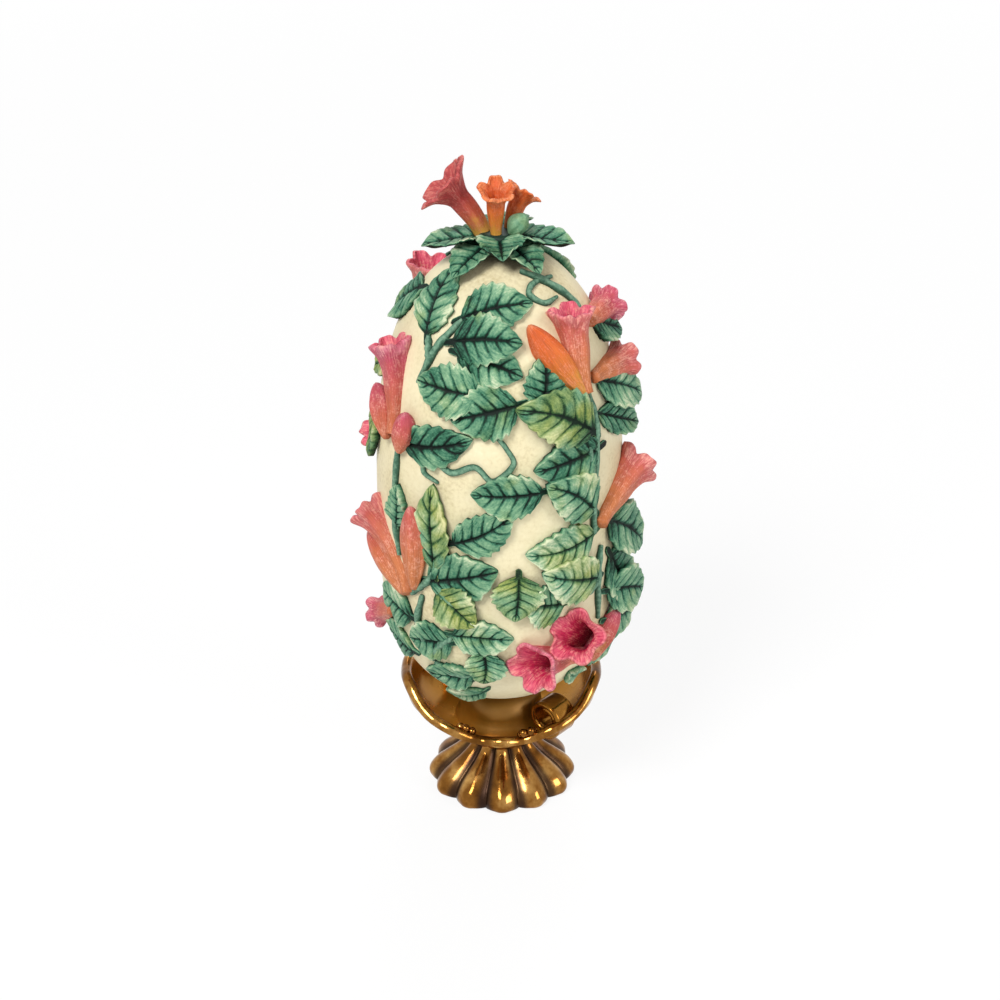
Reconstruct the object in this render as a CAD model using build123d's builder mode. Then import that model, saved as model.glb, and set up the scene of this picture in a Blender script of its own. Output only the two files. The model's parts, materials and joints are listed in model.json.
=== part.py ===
# Decorative egg on a gilt stand, in millimetres: +Z up, front towards -Y, and the origin at the
# centre of the foot's underside. The egg lifts out of a shell shaped cup on a fluted foot, and it
# is dressed with the leaves, trumpet flowers, buds, stems and tendrils of a trumpet creeper.
# A place on the egg is a pair: its bearing in degrees from the front, positive to the right, and
# its height as a share of the way from the waist up to the top (1) or down to the bottom (-1).
import os
from math import cos, radians, sin, sqrt

from build123d import *

os.makedirs("parts", exist_ok=True)

# Stand
FOOT_RADIUS = 16.0        # widest ring of the fluted foot
FOOT_RIM_RADIUS = 15.2    # resting edge
FOOT_HEIGHT = 12.0
FOOT_NECK_RADIUS = 6.8
FOOT_WALL = 2.6
FLUTES = 12
FLUTE_DEPTH = 1.0
COLLAR_HEIGHT = 2.6
COLLAR_RADIUS = 7.0       # ring of the petals' centres
PETALS = 8
PETAL_HALF_WIDTH = 3.9
PETAL_HALF_THICKNESS = 2.1
BOWL_RADIUS = 21.8        # tip of the cup's side wings
BOWL_HEIGHT = 13.6        # wing tips above the cup's underside
BOWL_BASE_RADIUS = 5.6
BOWL_WALL = 1.7
RIM_DIP = 3.4             # front and back of the rim above the cup's underside
SEAT_RADIUS = 9.0         # pillar in the cup that carries the egg
SEAT_HEIGHT = 9.6
SCROLL_RADIUS = 4.9
SCROLL_WIDTH = 6.4
SCROLL_THICKNESS = 1.2
SCROLL_RING = 14.2        # distance of a scroll from the stand's axis
SCROLL_BEARING = 50.0
BEAD_RADIUS = 0.95
BEADS = 5
WING_BEAD_STEP = radians(6)
SCREW_RADIUS = 2.0
SCREW_HEAD_RADIUS = 3.6
SCREW_HEAD_HEIGHT = 2.0
SCREW_GRIP = 6.0          # length of the screw in the seat pillar
SCREW_CLEARANCE = 0.2

# Egg
EGG_RADIUS = 25.8
EGG_UPPER = 57.0          # waist to top
EGG_LOWER = 45.0          # waist to bottom
UPPER_FULLNESS = 2.9      # powers of the two half profiles, where 2 is an ellipse
LOWER_FULLNESS = 3.5
SEAT_CLEARANCE = 0.3
GLUE_GAP = 0.15

# Relief
LEAF_THICKNESS = 1.0
STEM_WIDTH = 1.3
STEM_THICKNESS = 0.9
TENDRIL_WIDTH = 0.9
FLOWER_WALL = 0.8
FLOWER_CLEARANCE = 0.2
NECK_SHARE = 0.28         # neck of a trumpet as a share of its mouth's radius
THROAT_SHARE = 0.58       # its tube, for a flower that lies on the egg
SLIM_THROAT_SHARE = 0.42  # its tube, for a flower that stands on the crown
WELL_SHARE = 0.35         # bottom of the hollow as a share of the length
PETAL_LOBES = 5
NOTCH_RING = 1.12         # centres of the notches between the lobes, in mouth radii
NOTCH_RADIUS = 0.30       # their size, in mouth radii

# Crown
BOSS_RADIUS = 4.2
BOSS_HEIGHT = 3.0
PEG_RADIUS = 1.6
PEG_LENGTH = 7.0
PEG_CLEARANCE = 0.15
CROWN_REACH = 15.5
CROWN_DROOP = 4.6         # fall of the rosette's lower leaves at their tips
CROWN_TOP_DROOP = 1.8     # and of its upper leaves
CROWN_LEAF_WIDTH = 8.4

COLLAR_LEVEL = FOOT_HEIGHT
BOWL_LEVEL = COLLAR_LEVEL + COLLAR_HEIGHT
EGG_BOTTOM = BOWL_LEVEL + SEAT_HEIGHT + SEAT_CLEARANCE
EGG_WAIST = EGG_BOTTOM + EGG_LOWER
EGG_TOP = EGG_WAIST + EGG_UPPER
TIER_STEP = LEAF_THICKNESS + GLUE_GAP
RELIEF_REACH = 6.0        # half depth of the prisms that are cut to the egg's curve


def finish(builder, name):
    """Label a finished sub-part and write its STEP file."""
    builder.part.label = name
    export_step(builder.part, f"parts/{name}.step")


def half(height):
    """Half length and fullness of the egg's profile on the side of a height share."""
    if height >= 0:
        return EGG_UPPER, UPPER_FULLNESS
    return EGG_LOWER, LOWER_FULLNESS


def egg_point(place, grow=0.0):
    """Point of the egg, grown all round, at a bearing and a height share."""
    bearing, height = place
    length, fullness = half(height)
    radius = (EGG_RADIUS + grow) * sqrt(1 - abs(height) ** fullness)
    turn = radians(bearing)
    return Vector(radius * sin(turn), -radius * cos(turn), EGG_WAIST + height * (length + grow))


def egg_normal(place):
    """Outward normal of the egg at a place."""
    bearing, height = place
    length, fullness = half(height)
    outward = 2 * sqrt(1 - abs(height) ** fullness) / EGG_RADIUS
    upward = fullness * abs(height) ** (fullness - 1) / length
    turn = radians(bearing)
    rise = upward if height >= 0 else -upward
    return Vector(outward * sin(turn), -outward * cos(turn), rise).normalized()


def profile_points(grow, sign):
    """Half profile of the egg from the waist to a pole, at even turns of the profile's own angle."""
    length, fullness = half(sign)
    angles = [radians(a) for a in (0, 18, 36, 54, 72, 90)]
    return [
        ((EGG_RADIUS + grow) * cos(a), EGG_WAIST + sign * (length + grow) * sin(a) ** (2 / fullness))
        for a in angles
    ]


def egg_solid(grow=0.0):
    """The egg as a body of revolution, grown by an even margin."""
    with BuildPart() as body:
        with BuildSketch(Plane.XZ):
            with BuildLine():
                upper = Spline(profile_points(grow, 1), tangents=[(0, 1), (-1, 0)])
                lower = Spline(profile_points(grow, -1), tangents=[(0, -1), (-1, 0)])
                Line(upper @ 1, lower @ 1)
            make_face()
        revolve(axis=Axis.Z)
    return body.part


def shell(inner, outer):
    """The layer round the egg between two margins."""
    with BuildPart() as layer:
        add(egg_solid(outer))
        add(egg_solid(inner), mode=Mode.SUBTRACT)
    return layer.part


def tangent_plane(start, end, place):
    """Plane between two points, square to the egg's normal at a place, with x from start to end."""
    normal = egg_normal(place)
    along = end - start
    return Plane(origin=(start + end) * 0.5, x_dir=along - normal * along.dot(normal), z_dir=normal)


def leaf(base_bearing, base_height, tip_bearing, tip_height, width, tier, turn=0.0, grow=0.0):
    """One leaf bent to the egg: its outline, grown all round, is carried onto the layer of its tier."""
    start = egg_point((base_bearing + turn, base_height))
    end = egg_point((tip_bearing + turn, tip_height))
    middle = ((base_bearing + tip_bearing) / 2 + turn, (base_height + tip_height) / 2)
    plane = tangent_plane(start, end, middle)
    length = (end - start).length + 2 * grow
    belly = 0.72 * width + 2 * grow
    shoulder = 0.62 * width + 2 * grow
    with BuildPart() as blade:
        with BuildSketch(plane):
            with BuildLine():
                for side in (1, -1):
                    Bezier(
                        (-length / 2, 0),
                        (-0.30 * length, side * belly),
                        (0.22 * length, side * shoulder),
                        (length / 2, 0),
                    )
            make_face()
        extrude(amount=RELIEF_REACH, both=True)
        add(TIERS[tier - 1], mode=Mode.INTERSECT)
    return blade.part


def strip(places, width, turn=0.0):
    """A stem or tendril: a ribbon along a curve through places, bent to the egg."""
    turned = [(bearing + turn, height) for bearing, height in places]
    points = [egg_point(place) for place in turned]
    middle = (sum(b for b, _ in turned) / len(turned), sum(h for _, h in turned) / len(turned))
    plane = tangent_plane(points[0], points[-1], middle)
    flat = [plane.to_local_coords(point) for point in points]
    with BuildPart() as ribbon:
        with BuildSketch(plane):
            with BuildLine():
                Spline([(point.X, point.Y) for point in flat])
            trace(line_width=width)
        extrude(amount=RELIEF_REACH, both=True)
        add(STEM_LAYER, mode=Mode.INTERSECT)
    return ribbon.part


def axis_plane(start, end):
    """Plane that holds a flower's axis, with y from its base to its mouth."""
    along = (end - start).normalized()
    across = along.cross(Vector(0.31, 0.23, 0.92)).normalized()
    return Plane(origin=start, x_dir=across, z_dir=across.cross(along))


def trumpet_profile(length, radius, throat, grow=0.0):
    """Outer curve of a trumpet from its neck to its lip, grown all round."""
    Bezier(
        (NECK_SHARE * radius + grow, 0),
        (throat * 1.25 + grow, 0.40 * length),
        (throat * 0.85 + grow, 0.80 * length),
        (radius + grow, length),
    )


def trumpet(start, end, radius, trims, throat_share=THROAT_SHARE):
    """An open trumpet flower from its neck to its five lobed mouth, cut clear of what it lies on."""
    length = (end - start).length
    plane = axis_plane(start, end)
    mouth = Plane(origin=end, x_dir=plane.x_dir, z_dir=plane.y_dir)
    throat = throat_share * radius
    hollow = throat - FLOWER_WALL
    well = WELL_SHARE * length
    with BuildPart() as flower:
        with BuildSketch(plane):
            with BuildLine():
                trumpet_profile(length, radius, throat)
                Line((radius, length), (radius - FLOWER_WALL / 2, length + FLOWER_WALL / 2))
                Bezier(
                    (radius - FLOWER_WALL / 2, length + FLOWER_WALL / 2),
                    (hollow * 0.85, 0.86 * length),
                    (hollow, 0.60 * length),
                    (0, well),
                )
                Polyline((0, well), (0, 0), (NECK_SHARE * radius, 0))
            make_face()
        revolve(axis=Axis(start, end - start))
        with BuildSketch(mouth):
            with PolarLocations(NOTCH_RING * radius, PETAL_LOBES, start_angle=18):
                Circle(NOTCH_RADIUS * radius)
        extrude(amount=FLOWER_WALL, both=True, mode=Mode.SUBTRACT)
        add(trims, mode=Mode.SUBTRACT)
    return flower.part


def trumpet_room(start, end, radius, throat_share=THROAT_SHARE):
    """The space that a trumpet flower needs, grown by the clearance to its neighbours."""
    length = (end - start).length
    lip = length + FLOWER_WALL
    neck = NECK_SHARE * radius + FLOWER_CLEARANCE
    with BuildPart() as room:
        with BuildSketch(axis_plane(start, end)):
            with BuildLine():
                trumpet_profile(length, radius, throat_share * radius, FLOWER_CLEARANCE)
                Polyline(
                    (radius + FLOWER_CLEARANCE, length),
                    (radius + FLOWER_CLEARANCE, lip),
                    (0, lip),
                    (0, -FLOWER_CLEARANCE),
                    (neck, -FLOWER_CLEARANCE),
                    (neck, 0),
                )
            make_face()
        revolve(axis=Axis(start, end - start))
    return room.part


def bud(start, end, radius, trims, grow=0.0):
    """A closed bud, slim at its foot and round at its tip."""
    length = (end - start).length
    with BuildPart() as body:
        with BuildSketch(axis_plane(start, end)):
            with BuildLine():
                Bezier(
                    (0.30 * radius + grow, -grow),
                    (1.05 * radius + grow, 0.45 * length),
                    (1.70 * radius + grow, length + grow),
                    (0, length + grow),
                )
                Polyline((0, length + grow), (0, -grow), (0.30 * radius + grow, -grow))
            make_face()
        revolve(axis=Axis(start, end - start))
        if trims:
            add(trims, mode=Mode.SUBTRACT)
    return body.part


def lobed_outline(radius, depth, count):
    """Closed ring of arcs that bulge to a radius between valleys of a depth."""
    step = 360 / count
    for index in range(count):
        angles = [radians(step * (index + share) - 90) for share in (-0.5, 0, 0.5)]
        radii = (radius - depth, radius, radius - depth)
        ThreePointArc(*[(r * cos(a), r * sin(a)) for r, a in zip(radii, angles)])


# Fluted foot: a loft of lobed rings, hollow beneath and open for the screw
foot_rings = [
    (0.0, FOOT_RIM_RADIUS, 0.8 * FLUTE_DEPTH),
    (0.28 * FOOT_HEIGHT, FOOT_RADIUS, FLUTE_DEPTH),
    (0.62 * FOOT_HEIGHT, (FOOT_RADIUS + FOOT_NECK_RADIUS) / 2, FLUTE_DEPTH),
    (FOOT_HEIGHT, FOOT_NECK_RADIUS, 0.3 * FLUTE_DEPTH),
]
with BuildPart() as stand_foot:
    for level, ring_radius, valley in foot_rings:
        with BuildSketch(Plane.XY.offset(level)):
            with BuildLine():
                lobed_outline(ring_radius, valley, FLUTES)
            make_face()
    loft()
    with BuildSketch(Plane.XZ):
        with BuildLine():
            hollow = Spline(
                (FOOT_RIM_RADIUS - FOOT_WALL, 0),
                (FOOT_RADIUS - FOOT_WALL - FLUTE_DEPTH, 0.25 * FOOT_HEIGHT),
                (SCREW_HEAD_RADIUS + SCREW_CLEARANCE * 2, FOOT_HEIGHT - FOOT_WALL),
            )
            Polyline(hollow @ 1, (0, FOOT_HEIGHT - FOOT_WALL), (0, 0), hollow @ 0)
        make_face()
    revolve(axis=Axis.Z, mode=Mode.SUBTRACT)
    with Locations((0, 0, FOOT_HEIGHT)):
        Hole(SCREW_RADIUS + SCREW_CLEARANCE, FOOT_HEIGHT)
finish(stand_foot, "stand_foot")

# Collar: a ring of rounded petals between the foot and the cup
with BuildPart() as stand_collar:
    with BuildSketch(Plane.XY.offset(COLLAR_LEVEL)):
        Circle(COLLAR_RADIUS)
    extrude(amount=COLLAR_HEIGHT)
    for index in range(PETALS):
        bearing = radians(360 / PETALS * index)
        radial = Vector(sin(bearing), -cos(bearing), 0)
        centre = radial * COLLAR_RADIUS + Vector(0, 0, COLLAR_LEVEL + COLLAR_HEIGHT / 2)
        tangent = Vector(cos(bearing), sin(bearing), 0)
        with BuildSketch(Plane(origin=centre, x_dir=tangent, z_dir=tangent.cross(Vector(0, 0, 1)))):
            Ellipse(PETAL_HALF_WIDTH, PETAL_HALF_THICKNESS)
            with Locations((0, -PETAL_HALF_THICKNESS / 2)):
                Rectangle(2 * PETAL_HALF_WIDTH, PETAL_HALF_THICKNESS, mode=Mode.SUBTRACT)
        revolve(axis=Axis(centre, tangent))
    with BuildSketch(Plane.XY.offset(COLLAR_LEVEL + COLLAR_HEIGHT)):
        Circle(COLLAR_RADIUS + PETAL_HALF_WIDTH)
    extrude(amount=PETAL_HALF_THICKNESS, mode=Mode.SUBTRACT)
    with BuildSketch(Plane.XY.offset(COLLAR_LEVEL)):
        Circle(COLLAR_RADIUS + PETAL_HALF_WIDTH)
    extrude(amount=-PETAL_HALF_THICKNESS, mode=Mode.SUBTRACT)
    with Locations((0, 0, BOWL_LEVEL)):
        Hole(SCREW_RADIUS + SCREW_CLEARANCE, COLLAR_HEIGHT)
finish(stand_collar, "stand_collar")

# Cup: a turned shell whose rim is scooped low at the front and back, with the egg's seat inside
seat_room = egg_solid(SEAT_CLEARANCE)
wing_rise = BOWL_HEIGHT - RIM_DIP
scoop_radius = (BOWL_RADIUS**2 + wing_rise**2) / (2 * wing_rise)


def bowl_curve(inset):
    """Meridian of the cup, moved in by an inset."""
    return Spline(
        (BOWL_BASE_RADIUS - inset, BOWL_LEVEL + inset),
        (0.62 * BOWL_RADIUS - 0.4 * inset, BOWL_LEVEL + 0.14 * BOWL_HEIGHT + inset),
        (0.90 * BOWL_RADIUS - 0.9 * inset, BOWL_LEVEL + 0.52 * BOWL_HEIGHT + 0.5 * inset),
        (BOWL_RADIUS - inset, BOWL_LEVEL + BOWL_HEIGHT),
        tangents=[(1, 0), (0.12, 1)],
    )


with BuildPart() as stand_bowl:
    with BuildSketch(Plane.XZ):
        with BuildLine():
            outside = bowl_curve(0.0)
            inside = bowl_curve(BOWL_WALL)
            Line(outside @ 1, inside @ 1)
            Polyline(outside @ 0, (0, BOWL_LEVEL), (0, BOWL_LEVEL + BOWL_WALL), inside @ 0)
        make_face()
    revolve(axis=Axis.Z)
    with BuildSketch(Plane.XZ):
        with Locations((0, BOWL_LEVEL + RIM_DIP + scoop_radius)):
            Circle(scoop_radius)
    extrude(amount=2 * BOWL_RADIUS, both=True, mode=Mode.SUBTRACT)
    with BuildSketch(Plane.XY.offset(BOWL_LEVEL)):
        Circle(SEAT_RADIUS)
    extrude(amount=SEAT_HEIGHT + SEAT_RADIUS / 2, taper=4)
    add(seat_room, mode=Mode.SUBTRACT)
    with Locations(Plane(origin=(0, 0, BOWL_LEVEL), z_dir=(0, 0, -1))):
        Hole(SCREW_RADIUS + SCREW_CLEARANCE, SCREW_GRIP + SCREW_CLEARANCE)
finish(stand_bowl, "stand_bowl")

# Two rolled scrolls on the rim, opposite each other
scroll_level = BOWL_LEVEL + RIM_DIP + 0.72 * SCROLL_RADIUS
scrolls = []
for scroll_bearing in (SCROLL_BEARING, SCROLL_BEARING + 180):
    turn = radians(scroll_bearing)
    roll_axis = Vector(cos(turn), sin(turn), 0)
    centre = Vector(SCROLL_RING * sin(turn), -SCROLL_RING * cos(turn), scroll_level)
    with BuildPart() as scroll:
        with BuildSketch(Plane(origin=centre, x_dir=roll_axis.cross(Vector(0, 0, 1)), z_dir=roll_axis)):
            Circle(SCROLL_RADIUS)
            Circle(SCROLL_RADIUS - SCROLL_THICKNESS, mode=Mode.SUBTRACT)
            inner_radius = SCROLL_RADIUS - 2 * SCROLL_THICKNESS
            with Locations((1.5 * SCROLL_THICKNESS, 0)):
                Circle(inner_radius)
                Circle(inner_radius - SCROLL_THICKNESS / 2, mode=Mode.SUBTRACT)
        extrude(amount=SCROLL_WIDTH / 2, both=True)
        add(stand_bowl.part, mode=Mode.SUBTRACT)
        add(seat_room, mode=Mode.SUBTRACT)
    scrolls.append(scroll.part)
with BuildPart() as stand_scrolls:
    add(scrolls)
finish(stand_scrolls, "stand_scrolls")

# Assembly screw, up through the foot and the collar into the seat pillar
screw_top = BOWL_LEVEL + SCREW_GRIP
screw_seat = FOOT_HEIGHT - FOOT_WALL
with BuildPart() as stand_screw:
    with BuildSketch(Plane.XY.offset(screw_seat)):
        Circle(SCREW_RADIUS)
    extrude(amount=screw_top - screw_seat)
    with BuildSketch(Plane.XY.offset(screw_seat)):
        Circle(SCREW_HEAD_RADIUS)
    extrude(amount=-SCREW_HEAD_HEIGHT)
    fillet(stand_screw.edges().group_by(Axis.Z)[0], SCREW_HEAD_HEIGHT / 3)
finish(stand_screw, "stand_screw")

# Bead florets: two in the cup's front and two in its back, and a row of beads on each wing tip
FLORETS = ((-32.0, 0.66), (22.0, 0.68))


def floret(bearing, share):
    """A cluster of beads round a middle one, seated on the cup's inner wall."""
    turn = radians(bearing)
    ring = share * BOWL_RADIUS
    centre = Vector(ring * sin(turn), -ring * cos(turn), BOWL_LEVEL + RIM_DIP + BEAD_RADIUS / 2)
    face = Plane(origin=centre, x_dir=(cos(turn), sin(turn), 0), z_dir=(-sin(turn), cos(turn), 1))
    with BuildPart() as cluster:
        with Locations(face):
            Sphere(BEAD_RADIUS)
            with PolarLocations(1.5 * BEAD_RADIUS, BEADS):
                Sphere(BEAD_RADIUS)
        add(stand_bowl.part, mode=Mode.SUBTRACT)
        add(stand_scrolls.part, mode=Mode.SUBTRACT)
    return cluster.part.solids().sort_by(SortBy.VOLUME)[-1]


def wing_beads(side):
    """Three beads in a row on the tip of a wing."""
    beads = []
    for index in (-1, 0, 1):
        bearing = index * WING_BEAD_STEP
        ring = BOWL_RADIUS - BOWL_WALL / 2
        across = ring * cos(bearing)
        rise = scoop_radius - sqrt(scoop_radius**2 - across**2)
        with BuildPart() as bead:
            with Locations((side * across, ring * sin(bearing), BOWL_LEVEL + RIM_DIP + rise)):
                Sphere(BEAD_RADIUS)
            add(stand_bowl.part, mode=Mode.SUBTRACT)
        beads.append(bead.part.solids().sort_by(SortBy.VOLUME)[-1])
    return beads


florets = [floret(bearing + turn, share) for bearing, share in FLORETS for turn in (0, 180)]
with BuildPart() as stand_florets:
    add(florets + wing_beads(-1) + wing_beads(1))
finish(stand_florets, "stand_florets")

# Egg, with a socket in its top for the crown's peg
with BuildPart() as egg_body:
    add(egg_solid())
    with Locations((0, 0, EGG_TOP)):
        Hole(PEG_RADIUS + PEG_CLEARANCE, PEG_LENGTH + PEG_CLEARANCE)
finish(egg_body, "egg_body")

TIERS = [
    shell(GLUE_GAP + TIER_STEP * tier, GLUE_GAP + TIER_STEP * tier + LEAF_THICKNESS) for tier in range(3)
]
STEM_LAYER = shell(GLUE_GAP, GLUE_GAP + STEM_THICKNESS)
EGG_ROOM = egg_solid(GLUE_GAP)

# Leaves: bearing and height of the base, bearing and height of the tip, width, tier
UPPER_LEAVES = (
    (-46, 0.76, -54, 0.95, 8.2, 1),
    (-25, 0.83, 26, 0.87, 8.0, 1),
    (-27, 0.76, 13, 0.76, 8.2, 2),
    (-23, 0.73, 12, 0.66, 8.4, 1),
    (-9, 0.60, -42, 0.62, 9.0, 2),
    (9, 0.57, -23, 0.51, 9.2, 1),
    (20, 0.55, 24, 0.72, 7.4, 1),
    (47, 0.42, 7, 0.56, 9.4, 2),
    (-49, 0.38, -12, 0.45, 7.4, 1),
)
MIDDLE_LEAVES = (
    (-30, -0.09, -30, 0.27, 6.4, 2),
    (-53, 0.04, -52, 0.21, 4.6, 1),
    (-21, 0.05, 6, 0.18, 7.4, 1),
    (-34, -0.16, -1, -0.06, 10.0, 1),
    (19, 0.25, -13, 0.25, 8.0, 1),
    (51, 0.35, 15, 0.33, 8.6, 1),
    (46, 0.12, 20, 0.28, 8.6, 2),
    (46, 0.03, 11, 0.01, 8.6, 1),
    (49, -0.20, 18, -0.08, 8.8, 2),
)
LOWER_LEAVES = (
    (-29, -0.20, -11, -0.34, 8.2, 2),
    (8, -0.09, 6, -0.31, 8.6, 2),
    (30, -0.27, 10, -0.22, 8.6, 1),
    (-23, -0.42, 6, -0.42, 7.2, 1),
    (-8, -0.49, -9, -0.67, 6.6, 2),
    (-24, -0.47, -50, -0.53, 8.0, 1),
    (-13, -0.64, -46, -0.71, 6.0, 1),
    (-46, -0.40, -73, -0.36, 8.4, 1),
    (-51, -0.62, -78, -0.58, 7.6, 1),
    (60, -0.80, 42, -0.73, 4.0, 1),
    (-10, -0.77, -44, -0.86, 5.0, 1),
)
LEFT_LEAVES = (
    (-78, 0.86, -104, 0.70, 8.4, 1),
    (-70, 0.65, -92, 0.53, 5.4, 1),
    (-84, 0.42, -78, 0.23, 6.0, 1),
)
RIGHT_LEAVES = (
    (72, 0.77, 94, 0.65, 6.4, 1),
    (56, 0.58, 90, 0.42, 7.6, 2),
    (53, 0.47, 88, 0.32, 5.6, 1),
    (58, 0.04, 86, -0.20, 9.0, 2),
    (60, -0.14, 84, -0.40, 9.0, 1),
    (57, -0.31, 84, -0.42, 8.2, 3),
    (60, -0.49, 88, -0.55, 8.4, 2),
    (62, -0.69, 88, -0.72, 8.0, 1),
)

# Flowers: base place, base lift, mouth place, mouth lift, mouth radius
TRUMPETS = {
    "upper_left_trumpet": ((-56, 0.39), 1.2, (-68, 0.70), 3.0, 4.4),
    "upper_right_trumpet": ((45, 0.56), 1.2, (46, 0.83), 3.6, 4.8),
    "mid_left_trumpet": ((-45, -0.26), 1.4, (-79, 0.03), 2.8, 5.2),
    "mid_right_trumpet": ((49, 0.06), 1.3, (84, 0.19), 3.6, 5.0),
    "lower_right_blossom": ((42, -0.60), 1.6, (12, -0.54), 4.4, 5.6),
    "lower_right_cup": ((56, -0.60), 1.8, (31, -0.41), 4.4, 5.8),
}
# Flowers that lie across a side, where the back has no room for a copy of them
SIDE_TRUMPETS = {
    "upper_right_side_trumpet": ((52, 0.60), 1.2, (86, 0.57), 2.8, 4.2),
    "right_shoulder_trumpet": ((66, 0.76), 1.0, (94, 0.75), 3.6, 4.0),
    "lower_left_trumpet": ((-62, -0.44), 1.0, (-86, -0.56), 2.6, 3.4),
}
# On the back these two mouths stop short of the flowers at the sides
BACK_MOUTHS = {"mid_left_trumpet": (-64, 0.10), "mid_right_trumpet": (66, 0.22)}

# Buds: base place, base lift, tip place, tip lift, radius
BUDS = {
    "upper_left_buds": (
        ((-60, 0.36), 1.2, (-73, 0.53), 2.4, 2.5),
        ((-50, 0.34), 1.2, (-45, 0.50), 2.2, 2.3),
    ),
    "upper_right_bud": (((43, 0.56), 1.4, (17, 0.81), 2.4, 2.8),),
    "mid_left_buds": (
        ((-47, -0.27), 1.4, (-80, -0.10), 2.4, 2.7),
        ((-41, -0.22), 1.4, (-40, 0.17), 2.4, 2.6),
    ),
    "lower_right_bud": (((57, -0.70), 1.4, (65, -0.44), 2.4, 2.5),),
}

# Stems and tendrils, as the places that they pass
STEMS = (
    ((-44, 0.60), (-37, 0.73), (-24, 0.83)),
    ((-52, -0.10), (-55, 0.10), (-53, 0.37)),
    ((48, 0.56), (50, 0.42), (47, 0.18)),
    ((52, -0.05), (50, -0.20), (53, -0.45)),
    ((-38, -0.25), (-42, -0.42), (-36, -0.62)),
)
TENDRILS = (
    (
        (-28, 0.27), (-36, 0.30), (-33, 0.36), (-22, 0.32), (-11, 0.35),
        (-3, 0.30), (6, 0.36), (3, 0.42), (-1, 0.46),
    ),
    ((60, 0.92), (34, 0.92), (26, 0.895), (36, 0.865), (50, 0.87)),
)
LEAST_PIECE = 0.8         # volume under which a cut-off end of a stem is dropped
ROOMS = []
LEAF_ROOMS = {1: [], 2: [], 3: []}


def lifted(place, lift, turn):
    """Point above the egg at a place of one side."""
    bearing, height = place
    place = (bearing + turn, height)
    return egg_point(place) + egg_normal(place) * lift


def boxed(solid):
    """A solid with the box round it."""
    return solid.bounding_box(optimal=False), solid


def near(solid, others):
    """Those of the boxed solids whose boxes meet the box of a solid."""
    box = solid.bounding_box(optimal=False)
    return [other for other_box, other in others if box.overlaps(other_box)]


def flower(base, base_lift, mouth, mouth_lift, radius, turn):
    """One trumpet on the egg, cut clear of the flowers made before it."""
    start = lifted(base, base_lift, turn)
    end = lifted(mouth, mouth_lift, turn)
    room = trumpet_room(start, end, radius)
    solid = trumpet(start, end, radius, [EGG_ROOM] + near(room, ROOMS))
    ROOMS.append(boxed(room))
    return solid.solids().sort_by(SortBy.VOLUME)[-1]


def bud_on_egg(base, base_lift, tip, tip_lift, radius, turn):
    """One bud on the egg, cut clear of the flowers made before it."""
    start = lifted(base, base_lift, turn)
    end = lifted(tip, tip_lift, turn)
    room = bud(start, end, radius, [], FLOWER_CLEARANCE)
    solid = bud(start, end, radius, [EGG_ROOM] + near(room, ROOMS))
    ROOMS.append(boxed(room))
    return solid.solids().sort_by(SortBy.VOLUME)[-1]


def leaf_beside_others(row, turn):
    """The largest piece of a leaf that the flowers and the earlier leaves of its tier leave."""
    blade = leaf(*row, turn=turn)
    neighbours = LEAF_ROOMS[row[-1]]
    meeting = near(blade, ROOMS + neighbours)
    neighbours.append(boxed(leaf(*row, turn=turn, grow=GLUE_GAP)))
    with BuildPart() as rest:
        add(blade)
        if meeting:
            add(meeting, mode=Mode.SUBTRACT)
    return rest.part.solids().sort_by(SortBy.VOLUME)[-1]


def group(name, solids):
    """Write separate solids as one named node."""
    with BuildPart() as node:
        add(solids)
    finish(node, name)
    return node.part


SIDES = {"front": 0.0, "back": 180.0}
for name, row in SIDE_TRUMPETS.items():
    group(name, [flower(*row, turn=0.0)])
for side, turn in SIDES.items():
    for name, (base, base_lift, mouth, mouth_lift, radius) in TRUMPETS.items():
        if side == "back":
            mouth = BACK_MOUTHS.get(name, mouth)
        group(f"{side}_{name}", [flower(base, base_lift, mouth, mouth_lift, radius, turn)])
    for name, rows in BUDS.items():
        group(f"{side}_{name}", [bud_on_egg(*row, turn=turn) for row in rows])

blades = []
SPRAYS = {"upper_leaves": UPPER_LEAVES, "middle_leaves": MIDDLE_LEAVES, "lower_leaves": LOWER_LEAVES}
for side, turn in SIDES.items():
    for name, rows in SPRAYS.items():
        spray = [leaf_beside_others(row, turn) for row in rows]
        group(f"{side}_{name}", spray)
        blades += [boxed(blade) for blade in spray]
for name, rows in {"left_side_leaves": LEFT_LEAVES, "right_side_leaves": RIGHT_LEAVES}.items():
    spray = [leaf_beside_others(row, 0.0) for row in rows]
    group(name, spray)
    blades += [boxed(blade) for blade in spray]


def stem_beside_leaves(places, width, turn):
    """The pieces of a stem or tendril that show between leaves and flowers."""
    ribbon = strip(places, width, turn)
    with BuildPart() as rest:
        add(ribbon)
        add(near(ribbon, blades + ROOMS), mode=Mode.SUBTRACT)
    return [piece for piece in rest.part.solids() if piece.volume > LEAST_PIECE]


for side, turn in SIDES.items():
    group(f"{side}_stems", [piece for row in STEMS for piece in stem_beside_leaves(row, STEM_WIDTH, turn)])
    curls = [piece for row in TENDRILS for piece in stem_beside_leaves(row, TENDRIL_WIDTH, turn)]
    group(f"{side}_tendrils", curls)

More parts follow.
